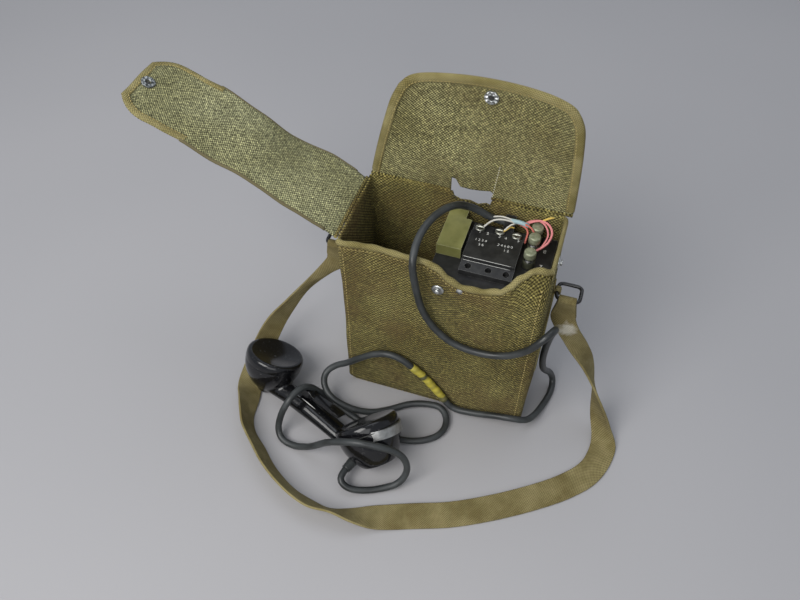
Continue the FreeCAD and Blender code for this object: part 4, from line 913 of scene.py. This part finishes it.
def make_flap():
    rows = [[flap_point(FLAP_LENGTH * j / 64, (i - 12) / 12) for i in range(25)] for j in range(65)]
    flap = thicken(grid("side_flap_cloth", rows, "canvas_flap"), CLOTH)
    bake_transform(flap)
    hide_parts("side_flap", "side_flap_tip")
    for number, side in ((1, -1), (2, 1)):
        line = [flap_point(FLAP_LENGTH * j / 60, side) for j in range(3, 44)]
        seat(tube(f"flap_edge_{number}", line, 0.0015, "edge_thread", 10), "flap", "piping")
    near = [flap_point(FLAP_LENGTH * j / 40, -1) for j in range(28, 41)]
    tip = [flap_point(FLAP_LENGTH, k / 8) for k in range(-7, 8)]
    far = [flap_point(FLAP_LENGTH * j / 40, 1) for j in range(40, 27, -1)]
    seam_line, bound = bind_edge("flap_binding", near + tip + far, FLAP_FACE, 0.0062)
    seam = stitches("flap_seam", seam_line, FLAP_FACE, "thread", 0.0034)
    for piece in (bound, seam):
        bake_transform(piece)


# Snap fasteners, studs and the front rivet
SNAP_RING = mm(
    (2.4, 0.2), (2.6, 1.6), (3.1, 2.1), (3.6, 1.9), (4.2, 1.7), (5, 2), (5.8, 2.2), (6.3, 1.8), (6.5, 1),
    (6.4, 0.2))
SNAP_CORE = mm((0, 0.9), (1.2, 1), (2.4, 0.6), (2.5, 0.2))
STUD = mm(
    (0, 4.2), (1.6, 4.1), (2.7, 3.4), (2.8, 2.7), (2.2, 2), (2.2, 1.4), (3.4, 1.2), (4.4, 1.4), (5.6, 1),
    (6, 0.3), (6, 0))
RIVET = mm((0, 1.6), (1.2, 1.5), (1.8, 0.7), (3, 0.8), (3.6, 0))
SNAP_REACH = 0.2109


def turned(spot, turn, axis):
    """A place in the scene, with a turn about one axis."""
    return Matrix.Translation(spot) @ Matrix.Rotation(turn, 4, axis)


def petals(radius, turn):
    return 0.00045 * math.cos(8 * turn) if 0.0034 < radius < 0.0062 else 0.0


def snap_part(name, profile, finish, at, steps, body, *nodes):
    ripple = petals if profile is SNAP_RING else None
    seat(spin(name, profile, finish, at, steps, ripple), body, "snap_metal", *nodes)


def make_snaps():
    lid_at = turned((0.013, 0.0481, 0.3346), QUARTER, "X")
    snap_part("lid_snap_ring", SNAP_RING, "snap", lid_at, 96, "lid_drop", "lid_snap")
    snap_part("lid_snap_core", SNAP_CORE, "snap_dark", lid_at, 32, "lid_drop")
    tilt = FLAP_FACE.to_track_quat("Z", "Y").to_matrix().to_4x4()
    spot = FLAP_START + FLAP_ALONG * SNAP_REACH
    under = Matrix.Translation(spot - FLAP_FACE * 0.0012) @ tilt @ Matrix.Rotation(math.pi, 4, "X")
    snap_part("side_snap_ring", SNAP_RING, "snap", under, 96, "flap_end", "side_snap")
    top = Matrix.Translation(spot + FLAP_FACE * 0.0006 - FLAP_FACE * 0.0026) @ tilt
    snap_part("side_snap_face", SNAP_RING, "snap_worn", top, 96, "flap_end")
    snap_part("side_snap_core", SNAP_CORE, "snap_dark", top, 32, "flap_end")
    snap_part("stud_0", STUD, "snap", turned((0, -0.0480, 0.190), QUARTER, "X"), 48, "root", "snap_studs")
    snap_part("stud_1", STUD, "snap", turned((0.098, 0, 0.2107), QUARTER, "Y"), 48, "root")
    rivet_at = turned((0.020, -0.0478, 0.195), QUARTER, "X")
    snap_part("edge_rivet", RIVET, "snap", rivet_at, 32, "root", "front_rivet")


# Wire rings in sewn tabs, and the shoulder strap between them
RING_LEVEL = 0.174
WIRE_BEND = 0.0058
TAB_TURN = 0.0028


def wire_ring(name, wall, far, half):
    """A rectangular wire ring with rounded corners."""
    corners = [Vector((x, y, 0)) for x, y in ((wall, -half), (wall, half), (far, half), (far, -half))]
    line = []
    for n, centre in enumerate(corners):
        back = (corners[n - 1] - centre).normalized()
        ahead = (corners[(n + 1) % 4] - centre).normalized()
        for k in range(9):
            t = k / 8
            a, b = centre + back * WIRE_BEND * (1 - t), centre + ahead * WIRE_BEND * t
            line.append(a.lerp(b, t) + UP * RING_LEVEL)
    return seat(tube(name, line, 0.0018, "black_wire", 14, closed=True), "root", "black_wire")


def make_rings():
    for word, side in (("left", -1), ("right", 1)):
        wall = side * 0.103
        wire_ring(f"{word}_wire_ring", wall, side * 0.125, 0.010)
        turns = [math.radians(angle) for angle in range(160, -161, -20)]
        loop = [(wall + TAB_TURN * math.cos(a) * side, RING_LEVEL + TAB_TURN * math.sin(a)) for a in turns]
        hang = [(side * 0.0992, 0.186), (side * 0.0994, 0.180)]
        foot = [(side * 0.0994, 0.168), (side * 0.0992, 0.157)]
        rows = [[Vector((x, y, z)) for y in (-0.003, 0, 0.003)] for x, z in hang + loop + foot]
        tab = thicken(grid(f"{word}_ring_tab", rows, "webbing"), 0.0014)
        seat(tab, "root", "piping")
    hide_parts("strap_rings")
    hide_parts("ring_tabs")


def ring_end(side):
    """The strap's folded end, over a ring's wire."""
    x, bar, turn = side * 0.114, -0.010, 0.0032
    spots = [(bar + 0.0015, RING_LEVEL - 0.022), (bar + 0.0018, RING_LEVEL - 0.010), (bar + turn, RING_LEVEL)]
    spots += [(bar + turn * math.cos(a), RING_LEVEL + turn * math.sin(a)) for a in (0.8, 1.57, 2.34)]
    spots += [(bar - turn, RING_LEVEL), (bar - 0.0018, RING_LEVEL - 0.010),
              (bar - 0.0017, RING_LEVEL - 0.022)]
    shares = (0.92, 0.76, 0.63, 0.63, 0.63, 0.63, 0.63, 0.76, 0.92)
    return [((x, y, z), (1, 0, 0), share) for (y, z), share in zip(spots, shares)]


def floor_stations(*points):
    spots = [Vector((x, y, FLAT)) for x, y in mm(*points)]
    stations = []
    for n, spot in enumerate(spots):
        way = spots[min(n + 1, len(spots) - 1)] - spots[max(n - 1, 0)]
        stations.append((spot, way.cross(UP)))
    return stations


def strap_stations(*rows):
    """Stations from a place in millimetres, a width direction and perhaps a share of the width."""
    return [(mm(row[:3])[0], row[3:6], *row[6:]) for row in rows]


STRAP_RIGHT = strap_stations(
    (120, -13, 139, 1, 0.1, -0.15), (135, -10, 112, 0.9, 0.5, -0.3), (151, -11, 85, 0.3, 0.8, -0.5),
    (166, -16, 50, -0.3, 0.8, -0.4), (178, -24, 17, -0.8, 0.5, -0.1), (187, -44, 2.3, -1, 0.1, 0))
STRAP_FLOOR = floor_stations((179, -76), (158, -101), (127, -125), (91, -148), (55, -167), (18, -181))
STRAP_TURN = strap_stations(
    (-12, -193, 3, -0.3, 1, -0.15), (-34, -201, 8, -0.25, 0.75, -0.6), (-56, -204.5, 12, -0.2, 0.45, -0.85),
    (-79, -203.5, 11.5, -0.05, 0.55, -0.8), (-104, -196, 11.5, 0.15, 0.45, -0.88),
    (-132, -180, 11.5, 0.25, 0.36, -0.88), (-154, -161, 11.5, 0.32, 0.3, -0.88),
    (-171, -146, 11.5, 0.32, 0.22, -0.92), (-181, -130, 11, 0.36, 0.18, -0.9),
    (-187.5, -112, 9, 0.62, 0.3, -0.7), (-197, -90, 4.5, 0.95, 0.25, -0.2),
    (-200.5, -69, 5, 0.95, 0.25, -0.1), (-198.5, -50, 18, 0.9, 0.4, -0.1), (-186, -30, 50, 0.7, 0.6, -0.2),
    (-162, -20, 90, 0.8, 0.5, 0.4), (-134, -16, 128, 0.9, 0.2, 0.4, 0.95))


def make_strap():
    stations = ring_end(1) + STRAP_RIGHT + STRAP_FLOOR + STRAP_TURN + ring_end(-1)[::-1]
    strap = ribbon("shoulder_strap", stations, 0.026, 0.0021, "webbing")
    seat(strap, "root", "webbing", "strap_right", "strap_front", "strap_left")


# Terminals: posts, screws, digits and the short leads
POST = mm(
    (0, 211.9), (4.4, 211.9), (5.2, 211.6), (5.6, 210.8), (5.7, 206), (5.5, 204.6), (5, 204.1), (2.9, 204),
    (2.7, 203), (2.7, 188), (4.4, 187.8), (4.4, 186.4), (0, 186.3))
COLLAR = mm(
    (4.7, 193.1), (5.9, 193.1), (6, 194), (5.7, 199), (5.6, 200.6), (5.2, 200.9), (4.8, 200.6), (4.7, 193.1))
SCREW = mm(
    (0, 204.1), (3.6, 204.1), (4.4, 203.8), (4.8, 203), (4.8, 201.2), (2, 201.1), (2, 194.5), (0, 194.4))
POST_SPOTS = mm((71.6, 4.4), (71.6, 24.6), (71.6, 37.9))
SCREW_SPOTS = [(0.019, 0.028, 0.05), (0.038, 0.029, 0.1), (0.0545, 0.028, -0.05)]
SPRING_FOOT, SPRING_HEIGHT = 0.1936, 0.0098
BLOCK_TOP, PANEL_TOP = 0.20502, 0.19302
MARKS = [("1", 19.5, 19.5, 4.5), ("2", 27, 19.5, 4.5), ("3", 38.5, 19, 4.5), ("4", 44.5, 18.5, 4.5),
         ("5", 56.5, 19, 4.5), ("1 2 3 4", 18.5, 9, 4), ("5 6", 23, 3.5, 4), ("2 4 6 8 0", 40, 8.5, 4),
         ("1 2", 47, 3, 4)]
PAINT_LINES = [("block_line", -0.0138, 0.20512, 0.00022), ("ledge_line", -0.0146, 0.20120, 0.00018)]


def digits(name, text, place, size):
    """Plain painted numerals, lying on a top face."""
    words = bpy.data.curves.new(name, "FONT")
    words.body = text
    words.size = size
    words.extrude = 0.00004
    holder = bpy.data.objects.new(name, words)
    bpy.context.scene.collection.objects.link(holder)
    bpy.context.view_layer.update()
    graph = bpy.context.evaluated_depsgraph_get()
    mesh = bpy.data.meshes.new_from_object(holder.evaluated_get(graph))
    bpy.data.objects.remove(holder)
    mesh.transform(turned(place, math.radians(2), "Z"))
    mesh.materials.clear()
    seat(link(name, mesh, "white_paint"), "root", "panel_black")


def make_terminals():
    for n, (x, y) in enumerate(POST_SPOTS, start=1):
        at = Matrix.Translation((x, y, 0))
        post = spin(f"line_post_{n}_turned", POST, "post_green", at, 48)
        seat(post, f"post_{n}", "post_green", f"line_post_{n}")
        sleeve = spin(f"post_collar_{n}", COLLAR, "collar_dark", at, 48)
        seat(sleeve, "root", "collar_dark", *once(n, "post_collars"))
        coil = [Vector((x + across, y + up, SPRING_FOOT + SPRING_HEIGHT * k / 112))
                for k, (across, up) in enumerate((circle(0.0037, 16) * 8)[:113])]
        spring = tube(f"post_coil_{n}", coil, 0.00042, "steel", 8)
        seat(spring, "root", "steel", f"post_spring_{n}")
        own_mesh(spring)
    for n, (x, y, turn) in enumerate(SCREW_SPOTS, start=1):
        screw = spin(f"terminal_screw_{n}", SCREW, "screw_nickel", turned((x, y, 0), turn, "Z"), 40)
        slot = [(x - 0.006, y, 0.2040), (x + 0.006, y, 0.2040)]
        carve(screw, tube("slot_cutter", slot, 0.0009, "snap_dark", 4))
        seat(screw, "root", "screw_nickel", *once(n, "terminal_screws"))
    for n, (text, *sizes) in enumerate(MARKS):
        x, y, size = mm(sizes)[0]
        digits(f"block_digits_{n}", text, (x, y, BLOCK_TOP), size)
    digits("panel_digit_1", "7", (0.0815, 0.0040, PANEL_TOP), 0.006)
    digits("panel_digit_2", "8", (0.0815, 0.0240, PANEL_TOP), 0.006)
    for name, y, z, radius in PAINT_LINES:
        line = [Vector((x / 1000, y, z)) for x in range(14, 61, 4)]
        seat(tube(name, line, radius, "white_paint", 6), "root", "panel_black")


LEADS = [
    ("lead_white_1", "wire_white", 0.0008, mm(
        (26, 37.2, 210.5), (34, 37.2, 215), (44, 36.5, 215), (52, 36.4, 212.5), (58, 36.4, 212))),
    ("lead_white_2", "wire_white", 0.0009, mm(
        (52, 36.4, 211), (44, 34, 215), (34, 32.5, 215), (27, 31, 211), (22.5, 29.5, 204.5))),
    ("lead_blue", "wire_blue", 0.0021, mm(
        (45, 36.6, 212.8), (52, 36.6, 213.2), (59, 36.8, 212), (62.5, 37.2, 210))),
    ("lead_white_3", "wire_white", 0.0008, mm(
        (50, 36.5, 210), (50, 33.5, 212.5), (46, 32, 211), (42, 30, 205))),
    ("lead_red_1", "wire_red", 0.0009, mm(
        (53, 38, 209), (59, 36.5, 212.5), (65, 33.5, 213), (69, 31, 211), (70.5, 31.2, 206))),
    ("lead_red_2", "wire_red", 0.0009, mm(
        (55, 38.5, 208), (60, 34.5, 211), (64, 30, 210), (64, 26.5, 206), (63.2, 24, 200))),
    ("lead_pink", "wire_pink", 0.0011, mm(
        (62, 40, 211), (70, 42.5, 216), (81, 40, 216), (86.5, 32, 213), (85, 23, 209), (80, 18.5, 205),
        (75, 17.5, 200))),
    ("lead_pink_2", "wire_pink", 0.0009, mm(
        (58, 40, 209), (66.5, 43, 215), (77, 41, 214.5), (83, 33, 210), (82, 26, 206), (79, 22.5, 201))),
    ("lead_yellow", "wire_yellow", 0.001, mm((73.5, 41.5, 215.5), (79, 44, 218.5), (84, 45, 220.5))),
    ("lead_yellow_2", "wire_yellow", 0.0008, mm(
        (50, 35, 206), (46.5, 33, 208.5), (44, 31, 205), (41.5, 29, 204.5))),
]


def make_leads():
    for n, (name, finish, radius, route) in enumerate(LEADS, start=1):
        lead = tube(name, spline_line(route), radius, finish, 10)
        seat(lead, "root", "lead_cloth", *once(n, "lead_wires"))


# Handset: a moulded grip with two cups, screwed caps and a talk lever
BASE = Vector((-0.177, -0.0884, 0.0105))
GRIP = Vector((0.94, -0.342, 0)).normalized()
OUT = (UP * 0.857 + GRIP.cross(UP) * -0.515).normalized()
SIDE = OUT.cross(GRIP)
HANDSET = Matrix.Translation(BASE) @ Matrix((GRIP, SIDE, OUT)).transposed().to_4x4()
TRANSMITTER = HANDSET @ turned((0.160, 0, 0.0038), math.radians(-46), "Y")
GRIP_SECTIONS = mm(
    (-4, 3.5, 11.5, 8.5), (6, 6, 13, 9.5), (34, 8, 12, 10.5), (60, 7.2, 11.8, 10), (85, 5.5, 11.8, 9),
    (110, 3.6, 12, 8.3), (135, 3.6, 12.5, 8.3), (152, 4, 13, 8.5))
GRIP_CHIPS = [((0.052, -0.0065, 0.0172), (0.072, -0.0068, 0.0160)),
              ((0.103, -0.0085, 0.0092), (0.119, -0.0090, 0.0086))]
CAPS = [("receiver", 0.031, 0.042, 0.005, 0.008, HANDSET),
        ("transmitter", 0.033, 0.046, 0.003, 0.010, TRANSMITTER)]
LEVER = mm(
    (-3.2, -1), (-2.4, 2.4), (0, 3.8), (2.5, 4.8), (6, 5.4), (9.5, 4.4), (11.8, 2.4), (16, 1.7), (30, 1.7),
    (44, 1.7), (50, 1.2), (51, 0), (50, -1.4), (44, -1.7), (30, -1.7), (11, -1.7), (8, -3.4), (4, -4),
    (0, -3.2), (-2.2, -2.6))
LEVER_X, LEVER_Z = 0.050, 0.0235
BOWL_EDGE, BOWL_DROP = 0.0052, 0.0006


def cup(radius, depth, neck, toe):
    low, top = depth - 0.0108, depth - 0.0062
    side = [(neck + (radius - 0.0002 - neck) * math.sin(t * math.pi / 2) ** 0.8, low * t) for t in
            (0.08, 0.2, 0.35, 0.5, 0.65, 0.8, 0.92, 1.0)]
    return [(0, -toe), (neck * 0.6, -toe), (neck, 0)] + side + [(radius - 0.0006, top), (0, top)]


def cap_profile(radius, depth, dish):
    low = depth - 0.011
    rim = [(radius - 0.003, low + 0.0002), (radius - 0.0004, low + 0.0003), (radius, low + 0.0010),
           (radius, depth - 0.0045), (radius - 0.0004, depth - 0.0025), (radius - 0.0014, depth - 0.0009),
           (radius - 0.0032, depth - 0.0001), (radius - BOWL_EDGE, depth - BOWL_DROP)]
    bowl = [((radius - BOWL_EDGE) * (1 - n / 11),
             depth - BOWL_DROP - (dish - BOWL_DROP) * math.sin(n / 11 * math.pi / 2)) for n in range(1, 12)]
    return rim + bowl


def make_grip():
    rows = []
    for x, z, half, tall in GRIP_SECTIONS:
        rows.append([Vector((x, half * across, z + tall * up)) for across, up in circle(1, 40)])
    grip = grid("handset_moulding", rows, "bakelite", around=True)
    cap_ends(grip, end_rings(40, len(rows)))
    grip.data.transform(HANDSET)
    join(grip, [spin("receiver_cup", cup(0.031, 0.042, 0.013, 0.007), "bakelite", HANDSET, 72),
                spin("transmitter_cup", cup(0.033, 0.046, 0.0172, 0.0003), "bakelite", TRANSMITTER, 72)])
    mould = grip.modifiers.new("mould", "REMESH")
    mould.mode = "VOXEL"
    mould.voxel_size = 0.0011
    soften = grip.modifiers.new("soften", "SMOOTH")
    soften.factor = 0.6
    soften.iterations = 14
    bake(grip)
    grip.data.polygons.foreach_set("use_smooth", [True] * len(grip.data.polygons))
    seat(grip, "root", "bakelite", "handset_handle")
    for n, (start, end) in enumerate(GRIP_CHIPS, start=1):
        line = [Vector(start).lerp(Vector(end), k / 8) for k in range(9)]
        chip = tube(f"grip_chip_{n}", line, lambda t: 0.0001 + 0.0004 * math.sin(math.pi * t),
                    "white_paint", 8)
        chip.data.transform(HANDSET)
        seat(chip, "root", "bakelite")


def make_caps():
    for name, radius, depth, dish, holes, at in CAPS:
        cap = spin(f"{name}_cap_turned", cap_profile(radius, depth, dish), "bakelite", at, 96)
        seat(cap, "root", "bakelite", f"{name}_cap")
        if name == "transmitter":
            ring = [Vector((across, up, depth - 0.0112)) for across, up in circle(radius, 72)]
            groove = tube("transmitter_groove", ring, 0.0005, "snap_dark", 8, closed=True)
            groove.data.transform(at)
            seat(groove, "root", "bakelite")
        for k, spot in enumerate(circle(holes, 6) + [(0, 0)]):
            spread = 0 if k == 6 else holes
            fall = (dish - BOWL_DROP) * math.cos(math.asin(min(1, spread / (radius - BOWL_EDGE))))
            level = depth - BOWL_DROP - fall + 0.00005
            ring = [(0.0, level), (0.0009, level), (0.0013, level + 0.0001)]
            hole = spin(f"{name}_hole_{k}", ring, "snap_dark", at @ Matrix.Translation((*spot, 0)), 16)
            seat(hole, "root", "bakelite")


def make_lever():
    rows = []
    for share, shrink in ((-1, 0.80), (-0.94, 0.93), (-0.8, 1), (0.8, 1), (0.94, 0.93), (1, 0.80)):
        taper = 0.985 if shrink < 1 else 1
        rows.append([Vector((LEVER_X + 0.024 + (a - 0.024) * taper, 0.006 * share, LEVER_Z + b * shrink))
                     for a, b in LEVER])
    lever = grid("talk_lever_moulded", rows, "bakelite", around=True)
    cap_ends(lever, end_rings(len(LEVER), len(rows)))
    lever.data.transform(HANDSET)
    seat(lever, "lever", "bakelite", "talk_lever")


set_stage()
for finish, names in FINISHES.items():
    for node in names:
        dress(node, MATERIALS[finish])
make_cord()
make_bindings(make_shell())
make_lid()
make_flap()
make_snaps()
make_rings()
make_strap()
make_terminals()
make_leads()
make_grip()
make_caps()
make_lever()
